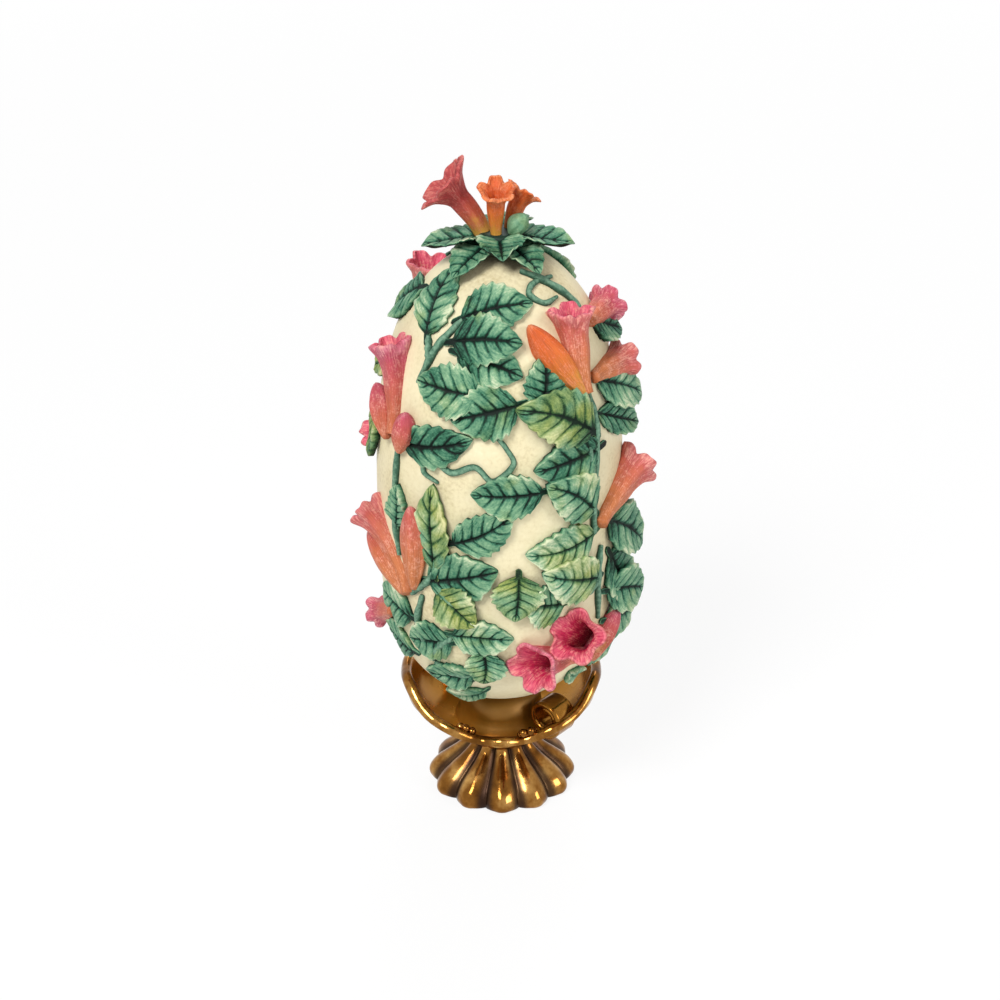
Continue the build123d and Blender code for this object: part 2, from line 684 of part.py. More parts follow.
# Crown: a boss on a peg, a rosette of leaves in two tiers and standing flowers
boss_level = EGG_TOP + GLUE_GAP
boss_top = boss_level + BOSS_HEIGHT
with BuildPart() as crown_boss:
    with BuildSketch(Plane.XY.offset(boss_level)):
        Circle(BOSS_RADIUS)
    extrude(amount=BOSS_HEIGHT)
    fillet(crown_boss.edges().group_by(Axis.Z)[-1], BOSS_HEIGHT / 3)
    with BuildSketch(Plane.XY.offset(boss_level)):
        Circle(PEG_RADIUS)
    extrude(amount=-PEG_LENGTH)
finish(crown_boss, "crown_boss")

# Rosette leaves: bearing, share of the full reach, share of the full width, tier
ROSETTE = (
    (-80, 1.00, 1.00, 2),
    (-38, 0.95, 0.90, 1),
    (4, 0.80, 0.90, 2),
    (36, 0.90, 0.90, 1),
    (78, 1.00, 1.00, 2),
    (122, 0.95, 1.00, 1),
    (166, 0.95, 1.00, 2),
    (-128, 0.95, 1.00, 1),
)


def umbrella(tier):
    """The drooping layer that a tier of the rosette is cut from."""
    level = boss_level + GLUE_GAP + TIER_STEP * (tier - 1)
    droop = CROWN_DROOP if tier == 1 else CROWN_TOP_DROOP
    edge = CROWN_REACH + LEAF_THICKNESS
    middle = (0.6 * edge, level - 0.3 * droop)
    tip = (edge, level - droop)
    with BuildPart() as layer:
        with BuildSketch(Plane.XZ):
            with BuildLine():
                lower = ThreePointArc((0, level), middle, tip)
                upper = ThreePointArc(
                    (0, level + LEAF_THICKNESS),
                    (middle[0], middle[1] + LEAF_THICKNESS),
                    (tip[0], tip[1] + LEAF_THICKNESS),
                )
                Line(lower @ 0, upper @ 0)
                Line(lower @ 1, upper @ 1)
            make_face()
        revolve(axis=Axis.Z)
    return layer.part


def rosette_leaf(bearing, reach, width, tier, layers):
    """One leaf of the rosette, from the boss out to its tip."""
    turn = radians(bearing)
    outward = Vector(sin(turn), -cos(turn), 0)
    tip = CROWN_REACH * reach
    across = CROWN_LEAF_WIDTH * width
    with BuildPart() as blade:
        with BuildSketch(Plane(origin=(0, 0, EGG_TOP), x_dir=outward, z_dir=(0, 0, 1))):
            with BuildLine():
                for side in (1, -1):
                    inner = (0.30 * tip, side * 0.32 * across)
                    outer = (0.70 * tip, side * 0.8 * across)
                    Bezier((0, 0), inner, outer, (tip, 0))
            make_face()
            Circle(BOSS_RADIUS + GLUE_GAP, mode=Mode.SUBTRACT)
        extrude(amount=3 * CROWN_DROOP, both=True)
        add(layers[tier], mode=Mode.INTERSECT)
    return blade.part.solids().sort_by(SortBy.VOLUME)[-1]


layers = {tier: umbrella(tier) for tier in (1, 2)}
rosette = group("crown_leaves", [rosette_leaf(*row, layers=layers) for row in ROSETTE])

# Standing flowers: neck and mouth from the middle of the boss's top, and mouth radius
STANDING_TRUMPETS = {
    "crown_coral_trumpet": ((-3.0, 0.4, -1.0), (-12.0, 0.6, 10.6), 6.4),
    "crown_front_trumpet": ((-0.4, -2.2, -1.0), (-0.2, -3.6, 10.2), 3.4),
    "crown_rear_trumpet": ((2.2, 1.8, -1.0), (5.6, 3.4, 7.6), 3.5),
}
STANDING_BUD = ((2.6, -1.6, -1.0), (5.4, -3.0, 4.2), 1.9)
with BuildPart() as boss_room:
    with BuildSketch(Plane.XY.offset(boss_level)):
        Circle(BOSS_RADIUS + GLUE_GAP)
    extrude(amount=BOSS_HEIGHT + GLUE_GAP)
crown_rooms = [boss_room.part, rosette]
crown_middle = Vector(0, 0, boss_top)
for name, (neck, mouth, radius) in STANDING_TRUMPETS.items():
    start = crown_middle + Vector(*neck)
    end = crown_middle + Vector(*mouth)
    standing = trumpet(start, end, radius, crown_rooms, SLIM_THROAT_SHARE)
    group(name, [standing.solids().sort_by(SortBy.VOLUME)[-1]])
    crown_rooms.append(trumpet_room(start, end, radius, SLIM_THROAT_SHARE))
start = crown_middle + Vector(*STANDING_BUD[0])
end = crown_middle + Vector(*STANDING_BUD[1])
group("crown_bud", [bud(start, end, STANDING_BUD[2], crown_rooms).solids().sort_by(SortBy.VOLUME)[-1]])
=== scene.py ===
import json
import math
from itertools import count

import bmesh
import bpy
import numpy as np
from mathutils import Matrix, Vector


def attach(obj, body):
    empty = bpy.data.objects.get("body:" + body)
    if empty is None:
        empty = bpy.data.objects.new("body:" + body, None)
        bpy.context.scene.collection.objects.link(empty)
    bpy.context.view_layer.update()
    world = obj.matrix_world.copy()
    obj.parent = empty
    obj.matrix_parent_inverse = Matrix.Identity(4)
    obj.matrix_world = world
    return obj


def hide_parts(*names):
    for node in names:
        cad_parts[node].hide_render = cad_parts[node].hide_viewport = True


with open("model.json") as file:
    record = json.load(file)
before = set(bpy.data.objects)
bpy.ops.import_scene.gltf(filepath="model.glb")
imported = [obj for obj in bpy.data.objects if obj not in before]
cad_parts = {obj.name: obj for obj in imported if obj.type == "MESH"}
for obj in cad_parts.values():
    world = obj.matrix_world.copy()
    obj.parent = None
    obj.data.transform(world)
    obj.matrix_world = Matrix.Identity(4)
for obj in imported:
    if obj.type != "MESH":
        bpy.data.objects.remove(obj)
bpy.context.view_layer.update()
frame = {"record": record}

MM = 0.001
SAME_POINT = 0.001 * MM
UP = np.array([0.0, 0.0, 1.0])

# Egg, as the CAD model has it, in metres
EGG_RADIUS = 25.8 * MM
EGG_UPPER = 57.0 * MM
EGG_LOWER = 45.0 * MM
EGG_WAIST = 69.5 * MM
UPPER_FULLNESS = 2.9
LOWER_FULLNESS = 3.5
EGG_TOP = EGG_WAIST + EGG_UPPER
BOSS_TOP = EGG_TOP + 3.15 * MM
EGG_ROUND = 240
EGG_ROWS = 161
EGG_DENT = 0.10 * MM
POLE_SHRINK = 0.001

# Camera: place and aim in metres, focal length in widths of the square picture, roll in degrees
CAMERA_PLACE = (0.0, -0.400, 0.275)
CAMERA_AIM = (0.0, 0.0, 0.0694)
CAMERA_FOCAL = 2.128
CAMERA_ROLL = -0.4
CAMERA_NEAR = 0.01

# Light: the world's share on the object, the floor's whiteness near it, its rise per metre and its reach
WORLD_LIGHT = 0.24
FLOOR_WHITE = 0.86
FLOOR_FADE = 1.6
FLOOR_FADE_START = 0.2
FLOOR_GREY = (0.9, 0.9, 0.9, 1.0)
FLOOR_REACH = 6.0
WHITE = (1.0, 1.0, 1.0, 1.0)
# Lamps: name, place in metres, size in metres, power in watts
LAMPS = (
    ("key", (-0.30, -0.50, 0.70), 0.30, 6.7),
    ("fill", (0.60, -0.40, 0.35), 0.30, 2.0),
    ("back", (0.10, 0.60, 0.70), 0.50, 3.0),
)
LAMP_TARGET = (0.0, 0.0, 0.075)

# Random seeds: first ones, and the steps between sprays and pieces
LEAF_SEED = 100
SPRAY_SEED_STEP = 100
LEAF_SEED_STEP = 7
FLOWER_SEED = 2000
FLOWER_SEED_STEP = 13
STANDING_SEED = 5
STEM_SEED = 5000
TENDRIL_SEED = 5100

# Leaves: bearing and height of the base, bearing and height of the tip, width in mm, tier, yellowness
LEAVES = {
    "upper_leaves": (
        (-46, 0.76, -54, 0.95, 8.2, 1, 0.1),
        (-25, 0.83, 26, 0.87, 8.0, 1, 0.1),
        (-27, 0.76, 13, 0.76, 8.2, 2, 0.1),
        (-23, 0.73, 12, 0.66, 8.4, 1, 0.2),
        (-9, 0.60, -42, 0.62, 9.0, 2, 0.2),
        (9, 0.57, -23, 0.51, 9.2, 1, 0.3),
        (20, 0.55, 24, 0.72, 7.4, 1, 0.3),
        (47, 0.42, 7, 0.56, 9.4, 2, 0.7),
        (-49, 0.38, -12, 0.45, 7.4, 1, 0.1),
    ),
    "middle_leaves": (
        (-30, -0.09, -30, 0.27, 6.4, 2, 0.8),
        (-53, 0.04, -52, 0.21, 4.6, 1, 0.1),
        (-21, 0.05, 6, 0.18, 7.4, 1, 0.1),
        (-34, -0.16, -1, -0.06, 10.0, 1, 0.1),
        (19, 0.25, -13, 0.25, 8.0, 1, 0.2),
        (51, 0.35, 15, 0.33, 8.6, 1, 0.2),
        (46, 0.12, 20, 0.28, 8.6, 2, 0.3),
        (46, 0.03, 11, 0.01, 8.6, 1, 0.4),
        (49, -0.20, 18, -0.08, 8.8, 2, 0.5),
    ),
    "lower_leaves": (
        (-29, -0.20, -11, -0.34, 8.2, 2, 0.9),
        (8, -0.09, 6, -0.31, 8.6, 2, 0.7),
        (30, -0.27, 10, -0.22, 8.6, 1, 0.4),
        (-23, -0.42, 6, -0.42, 7.2, 1, 0.2),
        (-8, -0.49, -9, -0.67, 6.6, 2, 0.5),
        (-24, -0.47, -50, -0.53, 8.0, 1, 0.1),
        (-13, -0.64, -46, -0.71, 6.0, 1, 0.1),
        (-46, -0.40, -73, -0.36, 8.4, 1, 0.1),
        (-51, -0.62, -78, -0.58, 7.6, 1, 0.3),
        (60, -0.80, 42, -0.73, 4.0, 1, 0.1),
        (-10, -0.77, -44, -0.86, 5.0, 1, 0.1),
    ),
}
SIDE_LEAVES = {
    "left_side_leaves": (
        (-78, 0.86, -104, 0.70, 8.4, 1, 0.1),
        (-70, 0.65, -92, 0.53, 5.4, 1, 0.9),
        (-84, 0.42, -78, 0.23, 6.0, 1, 0.9),
    ),
    "right_side_leaves": (
        (72, 0.77, 94, 0.65, 6.4, 1, 0.1),
        (56, 0.58, 90, 0.42, 7.6, 2, 0.2),
        (53, 0.47, 88, 0.32, 5.6, 1, 0.1),
        (58, 0.04, 86, -0.20, 9.0, 2, 0.1),
        (60, -0.14, 84, -0.40, 9.0, 1, 0.1),
        (57, -0.31, 84, -0.42, 8.2, 3, 0.1),
        (60, -0.49, 88, -0.55, 8.4, 2, 0.1),
        (62, -0.69, 88, -0.72, 8.0, 1, 0.1),
    ),
}
# Rosette: bearing, share of the full reach, share of the full width, tier
ROSETTE = (
    (-80, 1.00, 1.00, 2),
    (-38, 0.95, 0.90, 1),
    (4, 0.80, 0.90, 2),
    (36, 0.90, 0.90, 1),
    (78, 1.00, 1.00, 2),
    (122, 0.95, 1.00, 1),
    (166, 0.95, 1.00, 2),
    (-128, 0.95, 1.00, 1),
)
# Flowers: base place, base lift, mouth place, mouth lift, mouth radius in mm, finish
TRUMPETS = {
    "upper_left_trumpet": ((-56, 0.39), 1.2, (-68, 0.70), 3.0, 4.4, "pink"),
    "upper_right_trumpet": ((45, 0.56), 1.2, (46, 0.83), 3.6, 4.8, "coral"),
    "mid_left_trumpet": ((-45, -0.26), 1.4, (-79, 0.04), 2.8, 4.6, "coral"),
    "mid_right_trumpet": ((49, 0.06), 1.3, (84, 0.19), 3.6, 5.0, "coral"),
    "lower_right_blossom": ((42, -0.60), 1.6, (12, -0.54), 4.4, 5.6, "pink"),
    "lower_right_cup": ((56, -0.60), 1.8, (31, -0.41), 4.4, 5.8, "coral"),
}
SIDE_TRUMPETS = {
    "upper_right_side_trumpet": ((52, 0.60), 1.2, (86, 0.57), 2.8, 4.2, "coral"),
    "right_shoulder_trumpet": ((66, 0.76), 1.0, (94, 0.75), 3.6, 4.0, "pink"),
    "lower_left_trumpet": ((-62, -0.44), 1.0, (-86, -0.56), 2.6, 3.4, "pink"),
}
# Mouths of the back that lie elsewhere, to clear the side flowers
BACK_MOUTHS = {"mid_left_trumpet": (-64, 0.10), "mid_right_trumpet": (66, 0.22)}
# Buds: finish, then base place, base lift, tip place, tip lift and radius in mm of each
BUDS = {
    "upper_left_buds": (
        "pink",
        ((-60, 0.36), 1.2, (-73, 0.53), 2.4, 2.5),
        ((-50, 0.34), 1.2, (-45, 0.50), 2.2, 2.3),
    ),
    "upper_right_bud": ("orange", ((43, 0.56), 1.4, (17, 0.81), 2.4, 2.8)),
    "mid_left_buds": (
        "coral",
        ((-47, -0.27), 1.4, (-80, -0.10), 2.4, 2.7),
        ((-41, -0.22), 1.4, (-40, 0.17), 2.4, 2.6),
    ),
    "lower_right_bud": ("pink", ((57, -0.70), 1.4, (65, -0.44), 2.4, 2.5)),
}
# Stems and tendrils: places along each
STEMS = (
    ((-44, 0.60), (-37, 0.73), (-24, 0.83)),
    ((-52, -0.10), (-55, 0.10), (-53, 0.37)),
    ((48, 0.56), (50, 0.42), (47, 0.18)),
    ((52, -0.05), (50, -0.20), (53, -0.45)),
    ((-38, -0.25), (-42, -0.42), (-36, -0.62)),
)
# Thin runners that join the front's sprays
RUNNERS = (
    ((26, 0.955), (46, 0.92), (60, 0.86), (66, 0.79)),
    ((-45, -0.27), (-40, -0.22), (-35, -0.17), (-31, -0.10)),
    ((44, 0.44), (45, 0.30), (46, 0.12), (47, 0.02)),
    ((50, -0.22), (44, -0.26), (32, -0.27)),
    ((-37, -0.60), (-30, -0.50), (-23, -0.44)),
    ((-40, 0.68), (-42, 0.72), (-45, 0.76)),
    ((-36, -0.62), (-26, -0.66), (-14, -0.66)),
)
TENDRILS = (
    ((-28, 0.27), (-36, 0.30), (-33, 0.36), (-22, 0.32), (-11, 0.35), (-3, 0.30),
     (6, 0.36), (3, 0.42), (-1, 0.46)),
    ((60, 0.92), (34, 0.92), (26, 0.895), (36, 0.865), (50, 0.87)),
)
# Standing flowers: neck and mouth in mm from the middle of the boss's top, mouth radius, throat, finish
STANDING = {
    "crown_coral_trumpet": ((-3.0, 0.4, -0.6), (-12.0, 0.6, 10.6), 6.4, 0.34, "rose"),
    "crown_front_trumpet": ((-0.4, -2.2, -0.6), (-0.2, -3.6, 10.2), 3.8, 0.46, "orange"),
    "crown_rear_trumpet": ((2.2, 1.8, -0.6), (5.6, 3.4, 7.6), 3.8, 0.45, "orange"),
}
# Bow of a flower's line as a share of its length, and a throat as a share of its mouth
STANDING_BOW = 0.14
LYING_BOW = 0.10
LYING_THROAT = 0.58
# Flowers that bend further, to face outwards
FACING_BOWS = {
    "lower_right_blossom": 0.26,
    "lower_right_cup": 0.24,
    "mid_left_trumpet": 0.17,
    "upper_left_trumpet": 0.16,
}
# Standing bud: neck and tip in mm from the middle of the boss's top, radius in mm
STANDING_BUD = ((2.6, -1.6, -0.6), (5.4, -3.0, 4.2), 1.9)
# The back repeats the front, turned by these degrees
SIDES = {"front": 0.0, "back": 180.0}


def smooth(x):
    """Smooth step from 0 to 1."""
    x = np.clip(x, 0.0, 1.0)
    return x * x * (3.0 - 2.0 * x)


def unit(v):
    """Vectors scaled to length one."""
    return v / np.linalg.norm(v, axis=-1, keepdims=True)


def around(total):
    """Angles of a ring's points, evenly spaced over one full turn."""
    return np.linspace(0, 2 * np.pi, total, endpoint=False)[None, :]


def compass(bearing):
    """Level unit vectors outwards and across at a bearing in degrees."""
    turn = math.radians(bearing)
    outward = np.array([math.sin(turn), -math.cos(turn), 0.0])
    return outward, np.array([math.cos(turn), math.sin(turn), 0.0])


def circles(theta, side, lift):
    """Unit circles in the planes of two side vectors, one for each row."""
    return np.cos(theta)[..., None] * side[:, None, :] + np.sin(theta)[..., None] * lift[:, None, :]


def smooth_path(points, total):
    """Points of a curve that passes through all the given ones, as a chain of cubic spans."""
    points = np.asarray(points)
    ends = np.concatenate([[2 * points[0] - points[1]], points, [2 * points[-1] - points[-2]]])
    s = np.linspace(0, len(points) - 1 - 1e-9, total)
    low = s.astype(int)
    f = (s - low)[:, None]
    a, b, c, d = ends[low], ends[low + 1], ends[low + 2], ends[low + 3]
    return 0.5 * (2 * b + (c - a) * f + (2 * a - 5 * b + 4 * c - d) * f**2 + (3 * b - a - 3 * c + d) * f**3)


def egg_half(rise):
    """Fullness and length of the half of the egg, upper or lower, that heights lie in."""
    up = rise >= 0
    return np.where(up, UPPER_FULLNESS, LOWER_FULLNESS), np.where(up, EGG_UPPER, EGG_LOWER)


def egg_point(bearing, height):
    """Point of the egg: its radius is a root of one less a power of the height share."""
    bearing, height = np.broadcast_arrays(np.radians(bearing), np.asarray(height, float))
    fullness, length = egg_half(height)
    radius = EGG_RADIUS * np.sqrt(np.clip(1 - np.abs(height) ** fullness, 0, 1))
    return np.stack([radius * np.sin(bearing), -radius * np.cos(bearing), EGG_WAIST + height * length], -1)


def egg_slope(points):
    """Value and gradient of the egg's implicit form, zero on its surface."""
    rise = points[..., 2] - EGG_WAIST
    fullness, length = egg_half(rise)
    share = np.abs(rise) / length
    value = (points[..., 0] ** 2 + points[..., 1] ** 2) / EGG_RADIUS**2 + share**fullness - 1
    upward = fullness * share ** (fullness - 1) / length * np.sign(rise)
    gradient = np.stack([2 * points[..., 0] / EGG_RADIUS**2, 2 * points[..., 1] / EGG_RADIUS**2, upward], -1)
    return value, gradient


def egg_drop(points, direction):
    """Points moved along a direction onto the egg by Newton steps, and the egg's normals there."""
    for _ in range(10):
        value, gradient = egg_slope(points)
        step = value / (gradient @ direction)
        points = points - np.clip(step, -4 * MM, 4 * MM)[..., None] * direction
    return points, unit(egg_slope(points)[1])


def above_egg(points, least):
    """Points that lie lower than a least height above the egg, moved up to it along the egg's normal."""
    for _ in range(3):
        value, gradient = egg_slope(points)
        steep = np.linalg.norm(gradient, axis=-1)
        lack = np.maximum(least - value / steep, 0.0)
        points = points + (lack / steep)[..., None] * gradient
    return points


def add_object(name, data):
    """A named object of the scene."""
    obj = bpy.data.objects.new(name, data)
    bpy.context.scene.collection.objects.link(obj)
    return obj


def mesh_object(name, parts):
    """One object from closed grids, each a pair of points (rows, ring, 3) and named point values.

    Each row of a grid is joined to the next by quads, and points that meet become one.
    """
    verts, faces, values = [], [], {}
    start = 0
    for points, attributes in parts:
        rows, ring = points.shape[:2]
        index = np.arange(rows * ring).reshape(rows, ring) + start
        turn = np.roll(index, -1, axis=1)
        faces.append(np.stack([index[:-1], turn[:-1], turn[1:], index[1:]], -1).reshape(-1, 4))
        verts.append(points.reshape(-1, 3))
        for key, value in attributes.items():
            values.setdefault(key, []).append(np.broadcast_to(value, (rows, ring)).reshape(-1))
        start += rows * ring
    mesh = bpy.data.meshes.new(name)
    mesh.from_pydata(np.concatenate(verts).tolist(), [], np.concatenate(faces).tolist())
    for key, value in values.items():
        layer = mesh.attributes.new(key, "FLOAT", "POINT").data
        layer.foreach_set("value", np.concatenate(value).astype(np.float32))
    joined = bmesh.new()
    joined.from_mesh(mesh)
    bmesh.ops.remove_doubles(joined, verts=joined.verts, dist=SAME_POINT)
    bmesh.ops.recalc_face_normals(joined, faces=joined.faces)
    joined.to_mesh(mesh)
    joined.free()
    mesh.polygons.foreach_set("use_smooth", np.ones(len(mesh.polygons), bool))
    return add_object(name, mesh)


def place(obj, node, body, material):
    """Give a piece its body and a material and hide the node it stands for; the node's slot is looked up,
    unused.
    """
    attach(obj, body)
    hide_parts(node)
    slot = next(row["material_slot"] for row in frame["record"]["subparts"] if row["node"] == node)
    obj.data.materials.append(material)


def paint_piece(node, parts, material):
    """A painted piece of the egg, in place of its CAD node."""
    place(mesh_object(f"{node}_painted", parts), node, "egg", material)


# Leaf form

LEAF_ROWS = 72
LEAF_ACROSS = 31
FULLNESS = 1.20
LEAF_SWAY = 0.08
# Undersides of the leaves take this share of the top's level as painted shade
UNDERSIDE_PAINTED_SHADE = 0.30
# Stalk: rows, length and half width as shares of the leaf, and how far its end sinks
STALK_ROWS = 9
STALK = 0.16
STALK_WIDTH = 0.13
STALK_SINK = 0.25 * MM
# Teeth: least count and one more than the most, crest as a share of a tooth, depth
TEETH = (6, 9)
TOOTH_CREST = 0.75
TOOTH_DEPTH = 0.16
# Veins: count of a side, lean to the tip, widths and depths
SIDE_VEINS = 6.0
VEIN_LEAN = 1.2
VEIN_WIDTH = 0.10
VEIN_DEPTH = 0.50
MIDRIB_WIDTH = 0.07
MIDRIB_DEPTH = 0.62
PANEL_RISE = 0.45
EDGE_WAVE = 0.45
# Leaves on the egg: step between tiers, height, relief, least thickness, seats, stand-off of side tips
TIER_STEP = 1.0 * MM
LEAF_RISE = 0.75 * MM
LEAF_RELIEF = 0.95 * MM
LEAF_LEAST = 0.30 * MM
TIER_SEAT = 0.15 * MM
EGG_SEAT = 0.1 * MM
SIDE_STAND_OFF = {"left_side_leaves": 1.2 * MM, "right_side_leaves": 2.8 * MM}
# Crown: reach, inner start as a share of it, droop by tier, width, heights and thickness
CROWN_REACH = 15.5 * MM
CROWN_START = 0.16
CROWN_STALK = 4 * MM
CROWN_DROOP = {1: 4.6 * MM, 2: 1.8 * MM}
CROWN_LEAF_WIDTH = 10.2 * MM
CROWN_SEAT = 0.6 * MM
CROWN_FOLD = 0.9 * MM
CROWN_RISE = 0.8 * MM
CROWN_RELIEF = 0.85 * MM
CROWN_EDGE = 0.15 * MM
CROWN_BODY = 0.75 * MM


def leaf_blade(seed):
    """Outline and relief of a leaf over u, stalk through base to tip, and v, edge to edge.

    The half width is a sine arch with saw teeth that point to the tip, behind a narrow stalk. The
    relief has a sunken midrib, side veins that run out and forwards, plump panels between them,
    two waves along each edge and an edge and tip that turn up.
    """
    own = np.random.default_rng(seed)
    u = np.concatenate([np.linspace(-STALK, 0, STALK_ROWS)[:-1], np.linspace(0, 1, LEAF_ROWS)])[:, None]
    v = np.linspace(-1, 1, LEAF_ACROSS)[None, :]
    blade = np.maximum(u, 0)
    arch = np.sin(np.pi * blade**0.80) ** 0.78
    uneven = 0.08 * np.sin(9 * blade + own.uniform(0, 6))
    tooth = (blade * own.integers(*TEETH) + uneven + own.uniform(0, 1)) % 1.0
    saw = np.where(tooth < TOOTH_CREST, tooth / TOOTH_CREST, (1 - tooth) / (1 - TOOTH_CREST))
    edge = np.abs(v)
    arch = arch * (1 + TOOTH_DEPTH * (saw - 0.5) * edge**2 * np.sin(np.pi * blade) ** 0.3)
    stem = STALK_WIDTH * smooth((0.3 - u) / 0.2) * smooth((u + STALK) / 0.03)
    width = np.maximum(arch, stem)
    drift = 0.12 * np.sin(5 * blade + own.uniform(0, 6)) + 0.10 * np.sin(3 * v + own.uniform(0, 6))
    veins = (blade * SIDE_VEINS - edge * VEIN_LEAN + drift + own.uniform(0, 0.3)) % 1.0
    gap = np.minimum(veins, 1 - veins)
    opened = smooth(blade / 0.1)
    side_vein = np.exp(-((gap / VEIN_WIDTH) ** 2)) * smooth(edge / 0.12) * (1 - 0.6 * edge) * opened
    midrib = np.exp(-((v / MIDRIB_WIDTH) ** 2)) * (1 - 0.5 * u) * opened
    panel = np.sqrt(np.clip(4 * edge * (1 - edge), 0, 1)) * smooth(blade / 0.08)
    phase = own.uniform(0, 6, 2)
    wave = np.where(v > 0, np.sin(9 * u + phase[0]), np.sin(8 * u + phase[1]))
    curl = own.uniform(-0.2, 1.0) * blade**3
    upturn = (own.uniform(0.1, 0.9) * edge**3 + EDGE_WAVE * wave * edge**2) * smooth(blade / 0.25)
    carving = PANEL_RISE * panel - VEIN_DEPTH * side_vein - MIDRIB_DEPTH * midrib + upturn
    relief = curl + carving * smooth((1 - u) / 0.18)
    # Painted shade in veins, midrib and base; painted highlight on raised panels and wave crests; pale edges
    tone = 0.32 + 0.30 * panel - 0.46 * side_vein - 0.46 * midrib + 0.46 * edge**8 + 0.14 * wave * edge
    tone = tone - 0.16 * (1 - smooth(blade / 0.35))
    return u, v, width, relief, np.clip(tone, 0, 1)


def closed_blade(top, bottom):
    """Ring grid of a blade: across its top and back across its underside."""
    return np.concatenate([top, bottom[:, ::-1][:, 1:-1]], axis=1)


def blade_values(tone, u, v, tint, yellow):
    """Point values of a blade: paint and painted shading, painted shade below, way along and across, tint
    and yellowness.
    """
    wide = np.broadcast_to(v, tone.shape)
    painted = closed_blade(tone, UNDERSIDE_PAINTED_SHADE * tone)
    return {"tone": painted, "along": u, "across": closed_blade(wide, wide), "tint": tint, "yellow": yellow}


def egg_leaf(row, turn, seed, stand_off):
    """A leaf on the egg: the blade is laid on the plane between base and tip and dropped onto it.

    Its height grows as the square of the way along, up to the stand-off of its tip.
    """
    base_bearing, base_height, tip_bearing, tip_height, width_mm, tier, yellow = row
    own = np.random.default_rng(seed)
    start = egg_point(base_bearing + turn, base_height)
    end = egg_point(tip_bearing + turn, tip_height)
    middle = egg_point((base_bearing + tip_bearing) / 2 + turn, (base_height + tip_height) / 2)
    normal = unit(egg_slope(middle)[1])
    along = end - start
    along = unit(along - normal * (along @ normal))
    across = np.cross(normal, along)
    length = np.linalg.norm(end - start)
    u, v, outline, relief, tone = leaf_blade(seed)
    bend = own.uniform(-LEAF_SWAY, LEAF_SWAY) * length * np.sin(np.pi * u)
    flat = (start + end) / 2 + ((u - 0.5) * length)[..., None] * along
    flat = flat + (v * outline * FULLNESS * width_mm * MM / 2 + bend)[..., None] * across
    ground, up = egg_drop(flat, normal)
    tier_lift = TIER_STEP * (tier - 1)
    tip_lift = stand_off * np.maximum(u, 0) ** 2
    level = LEAF_RISE + tier_lift * smooth(0.35 + u) - STALK_SINK * smooth(-u / STALK)
    rise = level + relief * LEAF_RELIEF * outline**0.4 + tip_lift
    top = ground + up * rise[..., None]
    seat = (tier_lift - TIER_SEAT) * smooth(0.5 + u) - EGG_SEAT
    under = np.minimum(rise - LEAF_LEAST, seat + tip_lift)
    bottom = ground + up * under[..., None]
    return closed_blade(top, bottom), blade_values(tone, u, v, own.uniform(0, 1), yellow)


def rosette_leaf(bearing, reach, width, tier, seed):
    """A leaf of the crown: the blade runs out from the boss and droops as the square of its reach.

    Its sides fold up, as a sine along it, and it thins to its edges and tip.
    """
    outward, across = compass(bearing)
    u, v, outline, relief, tone = leaf_blade(seed)
    tip = CROWN_REACH * reach
    out = (CROWN_START + (1 - CROWN_START) * np.maximum(u, 0)) * tip + np.minimum(u, 0) * CROWN_STALK
    lift = EGG_TOP + CROWN_SEAT + TIER_STEP * (tier - 1) - CROWN_DROOP[tier] * (out / CROWN_REACH) ** 2
    lift = lift + CROWN_FOLD * np.abs(v) ** 1.5 * np.sin(np.pi * u)
    flat = out[..., None] * outward + (v * outline * CROWN_LEAF_WIDTH * width / 2)[..., None] * across
    rise = lift + CROWN_RISE + relief * CROWN_RELIEF
    thickness = CROWN_EDGE + CROWN_BODY * (1 - 0.7 * v**2) * smooth((1 - u) / 0.25)
    top = flat + rise[..., None] * UP
    bottom = flat + (rise - thickness)[..., None] * UP
    return closed_blade(top, bottom), blade_values(tone, u, v, 0.3, 0.1)


# Stand form

# Foot: radius and level in mm of its outside and of its hollow
FOOT_LINE = (
    (15.0, 0.0), (15.9, 0.5), (16.1, 2.0), (14.9, 4.0), (12.6, 6.0), (10.0, 8.0), (7.7, 10.2), (6.9, 12.0)
)
FOOT_HOLLOW = ((12.4, 0.0), (12.2, 3.0), (4.0, 9.4), (2.1, 9.4), (2.1, 12.0), (0.0, 12.0))
FOOT_ROUND = 288
FOOT_ROWS = 61
FLUTES = 12
FLUTE_DEPTH = 1.9 * MM
FLUTE_RIB = 0.25 * MM
# Darker brown on the hollow beneath the foot and on its top
PLAIN_DARKENING = 0.8
# Cup: radius and level in mm of its outside and of the seat inside it
BOWL_LEVEL = 14.6 * MM
BOWL_LINE = ((5.6, 0.0), (13.5, 1.9), (19.6, 7.1), (21.8, 13.6))
SEAT_LINE = ((0.0, 0.4), (10.4, 0.4), (10.2, 2.2), (9.4, 3.2), (8.9, 5.0), (8.6, 9.4), (0.0, 9.5))
BOWL_ROUND = 320
BOWL_STEPS = 399
BOWL_ROWS = 48
LIP_ROWS = 6
UNDARKENED_ROWS = 4
BOWL_WALL = 1.7 * MM
BOWL_DIP = 3.4 * MM
BOWL_LIP = 0.45 * MM
SCALLOPS = 10
SCALLOP_DEPTH = 0.45 * MM
SCOOP_RADIUS = 28.4 * MM
# Scrolls
SCROLL_BEARINGS = (50.0, 230.0)
SCROLL_RADIUS = 4.9 * MM
SCROLL_WIDTH = 6.4 * MM
SCROLL_RING = 14.2 * MM
SCROLL_INSET = 0.7 * MM
SCROLL_HALF_WALL = 0.65 * MM
SCROLL_TURNS = 1.55
SCROLL_SHRINK = 0.52
SCROLL_ROWS = 180
SCROLL_ROUND = 40
